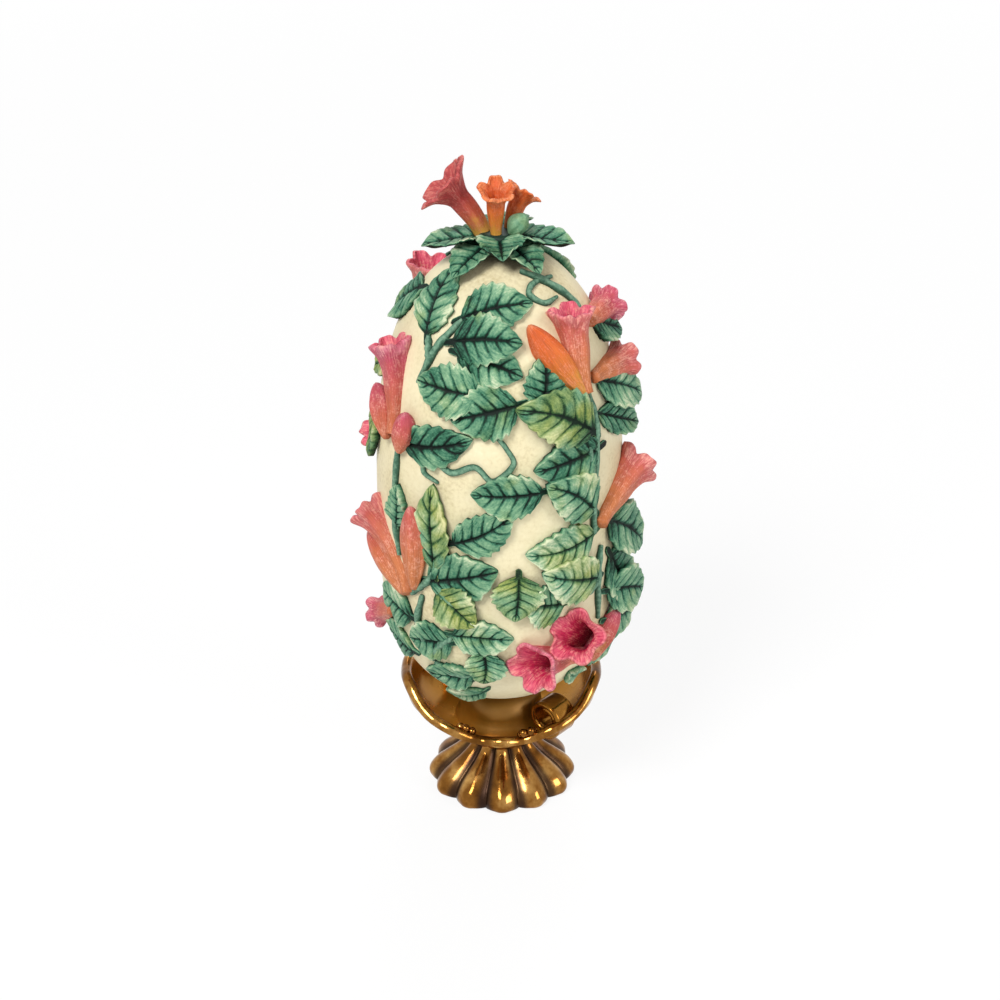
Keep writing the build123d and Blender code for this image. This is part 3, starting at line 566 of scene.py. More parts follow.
# Beads: clusters by bearing and distance from the axis in mm, and rows on the wing tips
BEAD_RADIUS = 0.95 * MM
BEAD_ROWS = 13
BEAD_ROUND = 20
BEADS = 5
BEAD_SPREAD = 1.5
BEAD_RAISE = 1.3 * MM
FLORETS = ((-32.0, 14.4), (22.0, 14.8), (148.0, 14.4), (202.0, 14.8))
WING_TIP = 20.95 * MM
WING_BEAD_STEP = 6.0
WING_BEAD_RAISE = 0.3 * MM


def turned(radius, level, theta):
    """Points at radii and levels round the stand's axis, from the front."""
    shape = np.broadcast_shapes(radius.shape, level.shape, theta.shape)
    points = (radius * np.sin(theta), -radius * np.cos(theta), level)
    return np.stack([np.broadcast_to(axis, shape) for axis in points], -1)


def foot_grid():
    """The foot: rings over a smooth profile, pinched between twelve flutes, and a hollow beneath.

    Its values hold a darker brown, which a smooth step of the flutes' crest puts in the grooves.
    """
    theta = around(FOOT_ROUND)
    level = np.linspace(0, 1, FOOT_ROWS)[:, None]
    line = smooth_path(np.array(FOOT_LINE) * MM, FOOT_ROWS)
    crest = np.abs(np.cos(FLUTES / 2 * theta)) ** 0.85
    depth = FLUTE_DEPTH * np.sin(np.pi * (0.18 + 0.74 * level)) ** 0.8
    rib = FLUTE_RIB * np.exp(-(((1 - crest) / 0.10) ** 2)) * (1 - level)
    outer = turned(line[:, :1] - depth * (1 - crest) + rib, line[:, 1:], theta)
    hollow = np.array(FOOT_HOLLOW) * MM
    inner = turned(hollow[:, :1], hollow[:, 1:], theta)
    top = np.zeros((1, FOOT_ROUND, 3)) + FOOT_LINE[-1][1] * MM * UP
    groove = 0.95 * smooth((0.86 - crest) / 0.50) * smooth((level + 0.10) / 0.25)
    darkening = np.pad(groove, ((len(FOOT_HOLLOW), 1), (0, 0)), constant_values=PLAIN_DARKENING)
    return np.concatenate([inner[::-1], outer, top]), {"lit": 0.0, "dark": darkening}


def bowl_parts():
    """The cup: a ribbed shell up to a scooped rim, round over its lip and down inside, and the seat.

    The rim is where the shell's line first rises over a scoop, an arc across the cup, and a cosine
    of the scallops. The same cosine ribs the wall, with darker brown between the ribs.
    """
    theta = around(BOWL_ROUND)
    line = smooth_path(np.array(BOWL_LINE) * MM, BOWL_STEPS + 1)
    reach = np.minimum(np.abs(line[:, :1] * np.sin(theta)), BOWL_LINE[-1][0] * MM)
    scoop = BOWL_DIP + SCOOP_RADIUS - np.sqrt(SCOOP_RADIUS**2 - reach**2)
    ripple = SCALLOP_DEPTH * np.cos(SCALLOPS * theta)
    above = line[:, 1:] > scoop + ripple
    rim = np.where(above.any(axis=0), above.argmax(axis=0), BOWL_STEPS) / BOWL_STEPS
    share = np.linspace(0, 1, BOWL_ROWS)[:, None]
    index = share * rim * BOWL_STEPS
    low = np.clip(index.astype(int), 0, BOWL_STEPS - 1)
    mix = index - low
    radius = line[low, 0] * (1 - mix) + line[low + 1, 0] * mix
    level = line[low, 1] * (1 - mix) + line[low + 1, 1] * mix
    rib = ripple * np.sin(np.pi * share) ** 0.7
    lip = BOWL_LIP * smooth((share - 0.86) / 0.14)
    outer = turned(radius + rib + lip, level + BOWL_LEVEL, theta)
    inner_radius = np.maximum(radius - BOWL_WALL, 0.0) - lip * 0.4
    inner_level = level + BOWL_LEVEL + 0.5 * BOWL_WALL * (1 - share) + lip
    inner = turned(inner_radius, inner_level, theta)
    arc = np.linspace(0, np.pi, LIP_ROWS + 2)[1:-1][:, None, None]
    middle = (outer[-1] + inner[-1]) / 2
    across = (outer[-1] - inner[-1]) / 2
    over = middle + np.cos(arc) * across + np.sin(arc) * np.linalg.norm(across, axis=-1).mean() * UP
    foot = np.zeros((1, BOWL_ROUND, 3)) + BOWL_LEVEL * UP
    floor = foot + BOWL_WALL * UP
    shell = np.concatenate([foot, outer, over, inner[::-1], floor])
    seat_line = np.array(SEAT_LINE) * MM
    seat = turned(seat_line[:, :1], seat_line[:, 1:] + BOWL_LEVEL, theta)
    row = np.arange(len(shell))[:, None]
    # Inside the cup a brighter, less metallic amber: painted light
    lit = (row > BOWL_ROWS + LIP_ROWS) * 1.0
    # Darker brown between the ribs of the outside, short of the rim
    hollow = 0.55 * smooth((-0.15 - np.cos(SCALLOPS * theta)) / 0.8)
    darkening = hollow * (row <= BOWL_ROWS - UNDARKENED_ROWS)
    # The seat under the egg takes the brighter amber as painted light, darkened as painted shade
    return [(shell, {"lit": lit, "dark": darkening}), (seat, {"lit": 1.0, "dark": 0.60})]


def scroll_grid(bearing):
    """A rolled scroll: a rounded strip wound round a level axis on a spiral of shrinking radius."""
    outward, roll = compass(bearing)
    middle = SCROLL_RING * outward + (BOWL_LEVEL + BOWL_DIP + 0.72 * SCROLL_RADIUS) * UP
    way = np.linspace(0, 1, SCROLL_ROWS)[:, None]
    angle = -0.5 * np.pi + 2 * np.pi * SCROLL_TURNS * way
    radius = (SCROLL_RADIUS - SCROLL_INSET) * (1 - SCROLL_SHRINK * way)
    section = around(SCROLL_ROUND)
    ends = smooth(way / 0.01) * smooth((1 - way) / 0.01)
    half_width = SCROLL_WIDTH / 2 * (1 - 0.25 * way) * ends
    wide = np.sign(np.cos(section)) * np.abs(np.cos(section)) ** 0.45 * half_width
    thick = np.sign(np.sin(section)) * np.abs(np.sin(section)) ** 0.8 * SCROLL_HALF_WALL * ends
    border = 0.22 * (np.abs(wide) / half_width.clip(SAME_POINT) > 0.75)
    r = (radius + thick * (1 + border))[..., None]
    ring = np.cos(angle)[..., None] * outward + np.sin(angle)[..., None] * UP
    return middle + r * ring + wide[..., None] * roll


def bead_grid(centre):
    """A bead: rings of a sphere from pole to pole."""
    polar = np.linspace(-np.pi / 2, np.pi / 2, BEAD_ROWS)[:, None]
    theta = around(BEAD_ROUND)
    return centre + BEAD_RADIUS * turned(np.cos(polar), np.sin(polar), theta)


def bead_parts():
    """Clusters of beads round a middle one, leant back by half a right angle, and rows on the wing tips."""
    centres = []
    for bearing, ring in FLORETS:
        outward, across = compass(bearing)
        rise = (UP + outward) / math.sqrt(2)
        middle = ring * MM * outward + (BOWL_LEVEL + BOWL_DIP + BEAD_RADIUS / 2 + BEAD_RAISE) * UP
        angles = np.arange(BEADS) * 2 * np.pi / BEADS
        petals = np.cos(angles)[:, None] * across + np.sin(angles)[:, None] * rise
        centres += [middle, *(middle + BEAD_SPREAD * BEAD_RADIUS * petals)]
    for side in (-1, 1):
        for index in (-1, 0, 1):
            turn = math.radians(index * WING_BEAD_STEP)
            reach = WING_TIP * math.cos(turn)
            level = BOWL_LEVEL + BOWL_DIP + SCOOP_RADIUS - math.sqrt(SCOOP_RADIUS**2 - reach**2)
            centres.append(np.array([side * reach, WING_TIP * math.sin(turn), level + WING_BEAD_RAISE]))
    return [(bead_grid(centre), {"lit": 0.0, "dark": 0.0}) for centre in centres]


# Flower form

FLOWER_ROUND = 100
FLOWER_OUT = 44
FLOWER_IN = 30
LOBES = 5
PETAL_WALL = 0.7 * MM
THROAT_RISE = 0.4 * MM
# Radii as shares of the mouth's, and places as shares of the way from neck to mouth
NECK = 0.28
FLARE_START = 0.60
LIP_START = 0.80
PARTING = 0.32
WELL = 0.30
WELL_ROW = 12
BUD_ROUND = 64
BUD_ROWS = 44
BUD_BOW = 0.08
# Stems and tendrils: radii, points round and along, and height as a share of the radius
STEM_RADIUS = 0.75 * MM
TENDRIL_RADIUS = 0.60 * MM
VINE_ROUND = 14
VINE_STEPS = 24
VINE_SEAT = 0.55


def flower_frames(start, end, outward, total, bow):
    """Points, tangents and two side vectors along a bowed line from a neck to a mouth."""
    t = np.linspace(0, 1, total)[:, None]
    chord = end - start
    elbow = (start + end) / 2 - outward * bow * np.linalg.norm(chord)
    points = (1 - t) ** 2 * start + 2 * t * (1 - t) * elbow + t**2 * end
    tangent = unit(2 * (1 - t) * (elbow - start) + 2 * t * (end - elbow))
    side = unit(np.cross(tangent, outward))
    return points, tangent, side, np.cross(side, tangent)


def way_round(theta):
    """Way round a flower, from one to zero and back."""
    return np.abs(np.mod(theta / np.pi, 2) - 1)


def trumpet(start, end, outward, radius, throat, seed, bow):
    """A trumpet flower: rings about a bowed line, out along the tube to five rolled lobes and back in.

    The ring's radius swells from the neck to the throat and flares at the mouth. A cosine of five
    turns parts the lobes by drawing the rings back between them, their ends roll back as a square
    of the way along, and finer cosines ruffle them.
    """
    own = np.random.default_rng(seed)
    theta = around(FLOWER_ROUND)
    out = np.linspace(0, 1, FLOWER_OUT)
    back = np.linspace(1, WELL, FLOWER_IN)
    points, tangent, side, lift = flower_frames(start, end, outward, FLOWER_OUT, bow)
    phase = own.uniform(0, 2 * np.pi)
    lobe = 0.5 + 0.5 * np.cos(LOBES * theta + phase + 0.3 * np.sin(theta + phase))
    ruffle = 0.012 * np.cos(10 * theta + own.uniform(0, 6)) + 0.030 * np.cos(3 * theta + own.uniform(0, 6))

    def ring(t, inset):
        """Rings at shares of the way along, drawn in by a wall."""
        t = t[:, None]
        flare = smooth((t - FLARE_START) / (1 - FLARE_START))
        lip = np.clip((t - LIP_START) / (1 - LIP_START), 0, 1)
        tube = NECK + (throat - NECK) * smooth(t / FLARE_START)
        crease = 1 + 0.06 * (2 * lobe - 1) * smooth(t / 0.5)
        petal = 1.03 - 0.17 * (1 - lobe) ** 2 * flare**2 + ruffle * flare
        spread = (tube + (0.80 - tube) * flare) * crease + 0.20 * smooth(lip)
        r = radius * spread * petal - inset
        parting = PARTING * (1 - lobe) ** 2.6 * flare**2
        shift = radius * (1.2 * ruffle * flare - 0.20 * lip**2 * lobe - parting) + 0.3 * inset
        index = t[:, 0] * (FLOWER_OUT - 1)
        low = np.clip(index.astype(int), 0, FLOWER_OUT - 2)
        mix = (index - low)[:, None]

        def at(rows):
            """Vectors of the line at the rings, blended between its rows."""
            return rows[low] * (1 - mix) + rows[low + 1] * mix

        circle = np.maximum(r, 0)[..., None] * circles(theta, at(side), at(lift))
        return at(points)[:, None, :] + circle + shift[..., None] * at(tangent)[:, None, :]

    outer = ring(out, 0.0)
    inner = ring(back, PETAL_WALL)
    ends = (points[0], (points[WELL_ROW] + points[WELL_ROW + 1]) / 2)
    neck, well = (np.broadcast_to(spot, (1, FLOWER_ROUND, 3)) for spot in ends)
    grid = np.concatenate([neck, outer, above_egg(np.concatenate([inner, well]), THROAT_RISE)])
    along = np.concatenate([[0.0], out, back, [WELL - 0.02]])[:, None]
    inside = np.concatenate([np.zeros(1 + FLOWER_OUT), np.ones(FLOWER_IN + 1)])[:, None]
    return grid, {"along": along, "inside": inside, "lobe": lobe, "round": way_round(theta)}


def bud(start, end, outward, radius, seed):
    """A closed bud: rings about a bowed line whose radius is a skewed sine, with five soft ridges."""
    own = np.random.default_rng(seed)
    theta = around(BUD_ROUND)
    points, _, side, lift = flower_frames(start, end, outward, BUD_ROWS, BUD_BOW)
    t = np.linspace(0, 1, BUD_ROWS)[:, None]
    form = 0.22 * (1 - t) ** 2 + np.sin(np.pi * t**1.25) ** 0.62
    ridge = 1 + 0.07 * np.cos(LOBES * theta + own.uniform(0, 6)) * np.sin(np.pi * t)
    ridge = ridge + 0.03 * np.cos(9 * theta + 5 * t + own.uniform(0, 6))
    r = radius * form * ridge
    r[-1] = 0
    grid = points[:, None, :] + r[..., None] * circles(theta, side, lift)
    grid = np.concatenate([np.broadcast_to(points[0], (1, BUD_ROUND, 3)), grid])
    along = np.concatenate([[[0.0]], t]) * 0.9
    lobe = 0.5 + 0.5 * np.cos(LOBES * theta)
    return grid, {"along": along, "inside": 0.0, "lobe": lobe, "round": way_round(theta)}


def lying(base, base_lift, end, end_lift, turn):
    """Both ends of a flower's line, lifted in mm along the egg's normals, and the normal at the far one."""
    points = np.array([egg_point(bearing + turn, height) for bearing, height in (base, end)])
    normals = unit(egg_slope(points)[1])
    start, end = points + normals * np.array([[base_lift], [end_lift]]) * MM
    return start, end, normals[1]


def vine(places, radius, turn, seed):
    """A stem or tendril: rings about a curve on the egg, thinner at its ends and a little uneven."""
    own = np.random.default_rng(seed)
    line = smooth_path([egg_point(b + turn, h) for b, h in places], VINE_STEPS * len(places))
    normal = unit(egg_slope(line)[1])
    line = line + normal * radius * VINE_SEAT
    tangent = unit(np.gradient(line, axis=0))
    side = unit(np.cross(tangent, normal))
    theta = around(VINE_ROUND)
    t = np.linspace(0, 1, len(line))[:, None]
    r = radius * (0.55 + 0.55 * np.sin(np.pi * t) ** 0.5) * (1 + 0.10 * np.sin(23 * t + own.uniform(0, 6)))
    r[[0, -1]] = 0
    grid = line[:, None, :] + r[..., None] * circles(theta, side, normal)
    # Lighter along the top and darker below: painted highlight and painted shade
    return grid, {"tone": 0.5 + 0.5 * np.sin(theta), "along": t, "across": 0.0, "tint": 0.5, "yellow": 0.2}


# Shading


class Value:
    """A socket of a node tree. Its sums, differences and products add Math nodes."""

    def __init__(self, shade, socket):
        self.shade = shade
        self.socket = socket

    def math(self, operation, first, second):
        """A Math node of two values."""
        return self.shade.node("ShaderNodeMath", {"operation": operation}, {0: first, 1: second})

    def __add__(self, other):
        return self.math("ADD", self, other)

    def __radd__(self, other):
        return self.math("ADD", other, self)

    def __sub__(self, other):
        return self.math("SUBTRACT", self, other)

    def __rsub__(self, other):
        return self.math("SUBTRACT", other, self)

    def __mul__(self, other):
        return self.math("MULTIPLY", self, other)

    def __rmul__(self, other):
        return self.math("MULTIPLY", other, self)

    def clamped(self):
        """The value kept from zero to one."""
        return self.shade.node("ShaderNodeClamp", {}, {0: self})


class Shade:
    """A material or world with one shader and the nodes that feed it."""

    def __init__(self, holder, **constants):
        holder.use_nodes = True
        self.holder = holder
        self.tree = holder.node_tree
        self.shader = next(n for n in self.tree.nodes if n.type in ("BSDF_PRINCIPLED", "BACKGROUND"))
        for key, value in constants.items():
            self.shader.inputs[key.replace("_", " ")].default_value = value

    def node(self, kind, settings, inputs, output=0):
        """Any node: its settings first, then the values or links of its sockets."""
        made = self.tree.nodes.new(kind)
        for key, value in settings.items():
            if key == "stops":
                ramp = made.color_ramp.elements
                while len(ramp) < len(value):
                    ramp.new(0.5)
                for element, (position, colour) in zip(ramp, value):
                    element.position = position
                    element.color = (*colour, 1.0)
            else:
                setattr(made, key, value)
        for key, value in inputs.items():
            if isinstance(value, Value):
                self.tree.links.new(value.socket, made.inputs[key])
            else:
                made.inputs[key].default_value = value
        return Value(self, made.outputs[output])

    def feed(self, socket, value):
        """Link a value to a socket of the shader."""
        self.tree.links.new(value.socket, self.shader.inputs[socket])

    def attribute(self, name):
        """A named point value of the piece."""
        return self.node("ShaderNodeAttribute", {"attribute_name": name}, {}, "Fac")

    def place(self):
        """Object coordinates."""
        return self.node("ShaderNodeTexCoord", {}, {}, "Object")

    def noise(self, scale, detail=4.0, vector=None):
        """Noise value at a scale per metre."""
        inputs = {"Scale": scale, "Detail": detail, "Vector": vector or self.place()}
        return self.node("ShaderNodeTexNoise", {}, inputs, "Fac")

    def ramp(self, value, *stops):
        """Colours along a value, from positions and sRGB colours."""
        stops = [(position, linear(*colour)) for position, colour in stops]
        return self.node("ShaderNodeValToRGB", {"stops": stops}, {0: value})

    def mix(self, factor, first, second):
        """Two colours blended by a factor, the second a value or an sRGB colour."""
        second = second if isinstance(second, Value) else (*linear(*second), 1.0)
        return self.node("ShaderNodeMix", {"data_type": "RGBA"}, {0: factor, 6: first, 7: second}, 2)

    def shown(self):
        """One for rays from the camera, off metal or through glass, else zero."""
        kinds = ("Camera", "Glossy", "Transmission")
        first, second, third = (self.node("ShaderNodeLightPath", {}, {}, f"Is {kind} Ray") for kind in kinds)
        return (first + second + third).clamped()

    def bump(self, height, strength, distance):
        """Normals of a height in metres."""
        inputs = {"Height": height, "Strength": strength, "Distance": distance}
        self.feed("Normal", self.node("ShaderNodeBump", {}, inputs))


def linear(red, green, blue):
    """Linear colour of an sRGB triple from 0 to 255."""
    values = np.array([red, green, blue]) / 255.0
    return tuple(np.where(values <= 0.04045, values / 12.92, ((values + 0.055) / 1.055) ** 2.4).tolist())


# Leaf paint from hollow to ridge, painted shade to painted highlight: places and colours
LEAF_GREENS = (
    (0.10, (2, 16, 10)), (0.28, (14, 56, 40)), (0.44, (58, 112, 86)), (0.68, (122, 162, 126)),
    (0.94, (206, 214, 178)),
)
LEAF_OLIVES = ((0.10, (10, 34, 18)), (0.32, (60, 94, 48)), (0.58, (138, 152, 80)), (0.94, (212, 210, 152)))


def leaf_paint():
    """Green with painted shade in the veins and hollows, painted highlight on the ridges, pale edges, olive
    patches.
    """
    shade = Shade(bpy.data.materials.new("leaf_paint"), Specular_IOR_Level=0.20)
    tone, along, across, tint = map(shade.attribute, ("tone", "along", "across", "tint"))
    lines = along * 26.0 - across * across * 9.0
    way = shade.node("ShaderNodeCombineXYZ", {}, {0: across * 3.0, 1: lines, 2: tint * 40.0})
    stroke = shade.noise(1.0, 4.0, way)
    cloud = shade.noise(230.0, 3.0)
    grain = shade.noise(2200.0, 3.0)
    level = tone + (stroke - 0.5) * 0.50 + (cloud - 0.5) * 0.60 + (grain - 0.5) * 0.35 + (tint - 0.55) * 0.24
    level = level.clamped()
    green = shade.ramp(level, *LEAF_GREENS)
    olive = shade.ramp(level, *LEAF_OLIVES)
    patch = shade.noise(170.0, 2.0)
    share = (shade.attribute("yellow") * 1.4 + (patch - 0.5) * 3.0 - 0.45).clamped()
    shade.feed("Base Color", shade.mix(share, green, olive))
    shade.feed("Roughness", 0.66 - level * 0.24)
    shade.bump(stroke + grain * 0.4 + cloud, 0.45, 0.00025)
    return shade.holder


def vine_paint():
    """Dark green stems, paler along the top as painted highlight and darker below as painted shade."""
    shade = Shade(bpy.data.materials.new("vine_paint"), Roughness=0.5, Specular_IOR_Level=0.20)
    level = (shade.attribute("tone") * 0.8 + (shade.noise(1500.0) - 0.5) * 0.8).clamped()
    colours = shade.ramp(level, (0.1, (20, 44, 34)), (0.6, (62, 100, 80)), (1.0, (130, 168, 140)))
    shade.feed("Base Color", colours)
    shade.bump(shade.noise(1800.0), 0.4, 0.0002)
    return shade.holder


# Petals from neck to lip: places of the colours, and the colours of each finish
FLOWER_POSITIONS = (0.05, 0.30, 0.58, 0.82, 1.0)
FLOWER_STOPS = {
    "coral": ((194, 114, 64), (202, 118, 70), (200, 106, 74), (194, 90, 82), (208, 118, 116)),
    "orange": ((206, 146, 56), (212, 118, 44), (214, 102, 40), (208, 92, 40), (222, 122, 66)),
    "pink": ((194, 108, 70), (196, 100, 74), (190, 84, 80), (186, 72, 94), (210, 120, 138)),
    "rose": ((212, 164, 70), (188, 92, 62), (170, 64, 58), (166, 60, 62), (190, 84, 80)),
}
PLAIN_THROATS = ("orange", "rose")


def flower_paint(name):
    """Paint from the neck to the lip, with streaks along the tube, painted shade between lobes, a magenta
    throat.
    """
    shade = Shade(bpy.data.materials.new(f"{name}_petals"), Specular_IOR_Level=0.30)
    along, inside, lobe = map(shade.attribute, ("along", "inside", "lobe"))
    spots = shade.noise(420.0, 4.0)
    grain = shade.noise(2400.0, 3.0)
    lines = shade.attribute("round") * 16.0
    streak = shade.noise(3.0, 4.0, shade.node("ShaderNodeCombineXYZ", {}, {0: lines, 1: along * 2.2}))
    way = (along + (spots - 0.5) * 0.55 + (streak - 0.5) * 0.45).clamped()
    skin = shade.ramp(way, *zip(FLOWER_POSITIONS, FLOWER_STOPS[name]))
    throat = shade.ramp(way, (0.35, (126, 8, 44)), (0.72, (200, 36, 84)), (1.00, (226, 110, 128)))
    if name in PLAIN_THROATS:
        throat = skin
    colour = shade.mix(inside, skin, throat)
    # Dark red along the dark streaks, and in the creases between the lobes as painted shade
    darkening = ((1.0 - streak) * 2.4 - 1.15 + (1.0 - lobe) * 0.35).clamped() * 0.50
    colour = shade.mix(darkening, colour, (104, 34, 34))
    dry = ((streak + grain + spots) * 2.4 - 3.6).clamped() * (0.25 if name in PLAIN_THROATS else 0.50)
    shade.feed("Base Color", shade.mix(dry, colour, (244, 196, 168)))
    shade.feed("Roughness", 0.40 + spots * 0.2)
    shade.bump(spots * 0.5 + streak + grain * 0.3, 0.45, 0.0004)
    return shade.holder


def cream_paint():
    """Off-white ground, mottled and a little brushed, with fine pitting."""
    shade = Shade(bpy.data.materials.new("cream_ground"), Specular_IOR_Level=0.30)
    cloud = shade.noise(60.0, 5.0)
    grain = shade.noise(1400.0, 4.0)
    level = (cloud + (grain - 0.5) * 0.5).clamped()
    colours = shade.ramp(level, (0.22, (196, 180, 138)), (0.45, (222, 210, 172)), (0.75, (232, 222, 188)))
    shade.feed("Base Color", colours)
    shade.feed("Roughness", 0.42 + grain * 0.2)
    shade.bump(grain + cloud * 1.5, 0.25, 0.0003)
    return shade.holder


def gilt():
    """Antique gold: polished ridges, dark hollows, painted shade on the seat, painted light as amber in the
    cup.
    """
    shade = Shade(bpy.data.materials.new("antique_gilt"))
    cloud = shade.noise(150.0, 3.0)
    grain = shade.noise(1600.0, 3.0)
    level = (cloud + (grain - 0.5) * 0.15).clamped()
    colours = shade.ramp(level, (0.28, (74, 42, 14)), (0.5, (136, 90, 38)), (0.75, (206, 160, 92)))
    lit, dark = map(shade.attribute, ("lit", "dark"))
    # A brighter, less metallic amber inside the cup, on the seat and on the scrolls: painted light
    colours = shade.mix(lit * 0.85, colours, (204, 142, 38))
    # Darker brown in the grooves and between the ribs, and on the seat under the egg as painted shade
    colours = shade.mix(dark * 0.92, colours, (36, 18, 8))
    shade.feed("Base Color", colours)
    shade.feed("Metallic", 1.0 - lit * 0.40 - dark * 0.25)
    shade.feed("Roughness", 0.07 + cloud * 0.12 + lit * 0.14 + dark * 0.20)
    shade.bump(cloud + grain * 0.1, 0.20, 0.0006)
    return shade.holder


def screw_steel():
    """Plain steel with faint turning marks."""
    shade = Shade(bpy.data.materials.new("screw_steel"), Metallic=1.0)
    grain = shade.noise(2500.0, 2.0)
    shade.feed("Base Color", shade.ramp(grain, (0.3, (120, 120, 122)), (0.7, (176, 176, 178))))
    shade.feed("Roughness", 0.3 + grain * 0.2)
    return shade.holder


LEAF = leaf_paint()
VINE = vine_paint()
PETALS = {name: flower_paint(name) for name in FLOWER_STOPS}
CREAM = cream_paint()
GILT = gilt()
STEEL = screw_steel()


# Pieces


def make_egg():
    """The egg: rings from pole to pole, with the slight unevenness of a hand finished casting.

    The unevenness is a product of slow waves along the normals of a slightly smaller egg.
    """
    bearing = np.linspace(0, 360, EGG_ROUND, endpoint=False)[None, :]
    angle = np.linspace(-np.pi / 2, np.pi / 2, EGG_ROWS)[:, None]
    fullness, _ = egg_half(angle)
    height = np.sign(angle) * np.abs(np.sin(angle)) ** (2 / fullness)
    points = egg_point(bearing, height)
    turn = np.radians(bearing)
    dent = EGG_DENT * np.sin(3 * turn + 9 * angle) * np.cos(5 * turn - 7 * angle) * np.cos(angle) ** 2
    inside = points * (1 - POLE_SHRINK) + POLE_SHRINK * EGG_WAIST * UP
    points = points + dent[..., None] * unit(egg_slope(inside)[1])
    place(mesh_object("egg_ground", [(points, {})]), "egg_body", "egg", CREAM)


def make_leaves():
    """Every spray of leaves, the side leaves and the rosette."""
    sprays = []
    for side, turn in SIDES.items():
        sprays += [(f"{side}_{name}", rows, turn, 0.0) for name, rows in LEAVES.items()]
    sprays += [(name, rows, 0.0, SIDE_STAND_OFF[name]) for name, rows in SIDE_LEAVES.items()]
    seed = LEAF_SEED
    for node, rows, turn, stand_off in sprays:
        seeds = count(seed, LEAF_SEED_STEP)
        parts = [egg_leaf(row, turn, own, stand_off) for row, own in zip(rows, seeds)]
        paint_piece(node, parts, LEAF)
        seed += SPRAY_SEED_STEP
    parts = [rosette_leaf(*row, own) for row, own in zip(ROSETTE, count(seed, LEAF_SEED_STEP))]
    paint_piece("crown_leaves", parts, LEAF)


def make_flowers():
    """Every flower and bud on the egg, and those of the crown."""
    seed = FLOWER_SEED
    jobs = [(name, row, 0.0, LYING_BOW) for name, row in SIDE_TRUMPETS.items()]
    for side, turn in SIDES.items():
        for name, row in TRUMPETS.items():
            if side == "back" and name in BACK_MOUTHS:
                row = row[:2] + (BACK_MOUTHS[name],) + row[3:]
            jobs.append((f"{side}_{name}", row, turn, FACING_BOWS.get(name, LYING_BOW)))
    for node, (*line, radius, finish), turn, bow in jobs:
        seed += FLOWER_SEED_STEP
        form = trumpet(*lying(*line, turn), radius * MM, LYING_THROAT, seed, bow)
        paint_piece(node, [form], PETALS[finish])
    for side, turn in SIDES.items():
        for name, (finish, *rows) in BUDS.items():
            parts = []
            for *line, radius in rows:
                seed += FLOWER_SEED_STEP
                parts.append(bud(*lying(*line, turn), radius * MM, seed))
            paint_piece(f"{side}_{name}", parts, PETALS[finish])
    middle = BOSS_TOP * UP
    for node, (neck, mouth, radius, throat, finish) in STANDING.items():
        start = middle + np.array(neck) * MM
        end = middle + np.array(mouth) * MM
        outward = unit(np.array([mouth[0] - neck[0], mouth[1] - neck[1], 0.0]))
        form = trumpet(start, end, outward, radius * MM, throat, seed + STANDING_SEED, STANDING_BOW)
        seed += FLOWER_SEED_STEP
        paint_piece(node, [form], PETALS[finish])
    neck, tip, radius = STANDING_BUD
    outward = unit(np.array([tip[0], tip[1], 0.0]))
    grid, _ = bud(middle + np.array(neck) * MM, middle + np.array(tip) * MM, outward, radius * MM, seed)
    values = {"tone": 0.62, "along": 0.5, "across": 0.0, "tint": 0.6, "yellow": 0.3}
    paint_piece("crown_bud", [(grid, values)], LEAF)


def make_vines():
    """Stems and tendrils of both sides."""
    for side, turn in SIDES.items():
        stems = STEMS + (RUNNERS if side == "front" else ())
        for name, rows, radius, seed in (
            ("stems", stems, STEM_RADIUS, STEM_SEED),
            ("tendrils", TENDRILS, TENDRIL_RADIUS, TENDRIL_SEED),
        ):
            parts = [vine(row, radius, turn, own) for row, own in zip(rows, count(seed))]
            paint_piece(f"{side}_{name}", parts, VINE)


def make_stand():
    """The gilt foot, cup, scrolls and beads."""
    place(mesh_object("stand_foot_gilt", [foot_grid()]), "stand_foot", "stand", GILT)
    place(mesh_object("stand_bowl_gilt", bowl_parts()), "stand_bowl", "stand", GILT)
    # The scrolls take a quarter of the brighter amber as painted light
    scrolls = [(scroll_grid(bearing), {"lit": 0.25, "dark": 0.0}) for bearing in SCROLL_BEARINGS]
    place(mesh_object("stand_scrolls_gilt", scrolls), "stand_scrolls", "stand", GILT)
    place(mesh_object("stand_florets_gilt", bead_parts()), "stand_florets", "stand", GILT)


def dress_cad_nodes():
    """Finishes for the CAD nodes that show as they are."""
    finishes = {"stand_screw": STEEL, "crown_boss": VINE, "stand_collar": GILT}
    for name, material in finishes.items():
        for slot in bpy.data.objects[name].material_slots:
            slot.material = material


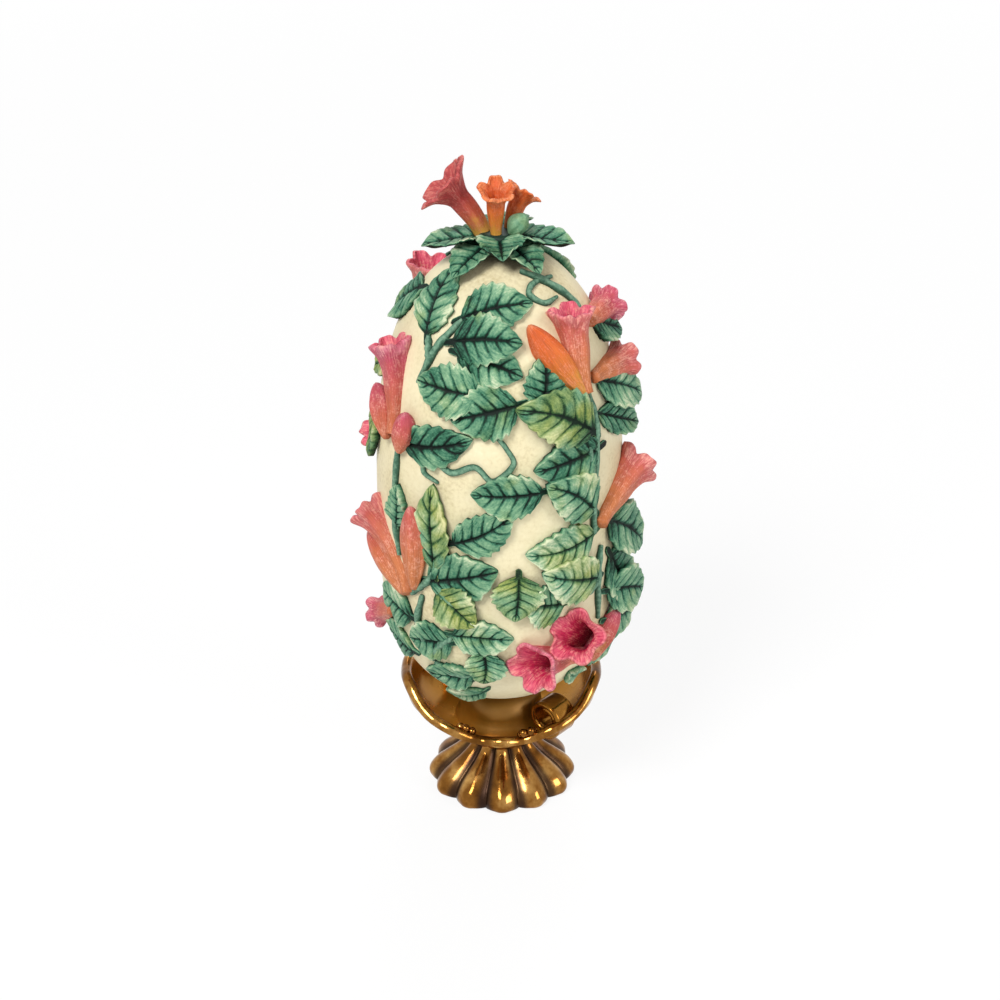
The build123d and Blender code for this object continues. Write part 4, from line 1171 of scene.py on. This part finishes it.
def aim(obj, spot, target, roll):
    """Stand an object at a spot, facing a target, turned about its view by a roll in degrees."""
    spot, target = Vector(spot), Vector(target)
    facing = (target - spot).to_track_quat("-Z", "Y").to_matrix()
    turn = facing @ Matrix.Rotation(math.radians(roll), 3, "Z")
    obj.matrix_world = Matrix.Translation(spot) @ turn.to_4x4()


def make_stage():
    """Floor, world, lamps and camera.

    The floor keeps the shadow and whitens with the distance from the object. The world is white where
    it is seen and a share of that where it lights.
    """
    mesh = bpy.data.meshes.new("floor")
    corners = [(x * FLOOR_REACH, y * FLOOR_REACH, 0) for x, y in ((-1, -1), (1, -1), (1, 1), (-1, 1))]
    mesh.from_pydata(corners, [], [(0, 1, 2, 3)])
    floor = add_object("floor", mesh)
    shade = Shade(bpy.data.materials.new("floor_white"), Roughness=0.9, Base_Color=FLOOR_GREY)
    glow = shade.node("ShaderNodeEmission", {}, {"Color": WHITE, "Strength": 1.0})
    body = Value(shade, shade.shader.outputs[0])
    distance = shade.node("ShaderNodeVectorMath", {"operation": "LENGTH"}, {0: shade.place()}, "Value")
    white = (distance * FLOOR_FADE - FLOOR_FADE_START).clamped() * (1.0 - FLOOR_WHITE) + FLOOR_WHITE
    both = shade.node("ShaderNodeMixShader", {}, {0: shade.shown() * white, 1: body, 2: glow})
    output = next(n for n in shade.tree.nodes if n.type == "OUTPUT_MATERIAL")
    shade.tree.links.new(both.socket, output.inputs[0])
    mesh.materials.append(shade.holder)

    room = Shade(bpy.data.worlds.new("white_room"), Color=WHITE)
    room.feed("Strength", room.shown() * (1.0 - WORLD_LIGHT) + WORLD_LIGHT)
    bpy.context.scene.world = room.holder

    for name, spot, size, power in LAMPS:
        light = bpy.data.lights.new(name, "AREA")
        light.size = size
        light.energy = power
        aim(add_object(name, light), spot, LAMP_TARGET, 0.0)

    data = bpy.data.cameras.new("camera")
    data.lens = CAMERA_FOCAL * data.sensor_width
    data.clip_start = CAMERA_NEAR
    camera = add_object("camera", data)
    aim(camera, CAMERA_PLACE, CAMERA_AIM, CAMERA_ROLL)
    bpy.context.scene.camera = camera
    bpy.context.scene.view_settings.view_transform = "Standard"


make_egg()
make_leaves()
make_flowers()
make_vines()
make_stand()
dress_cad_nodes()
make_stage()
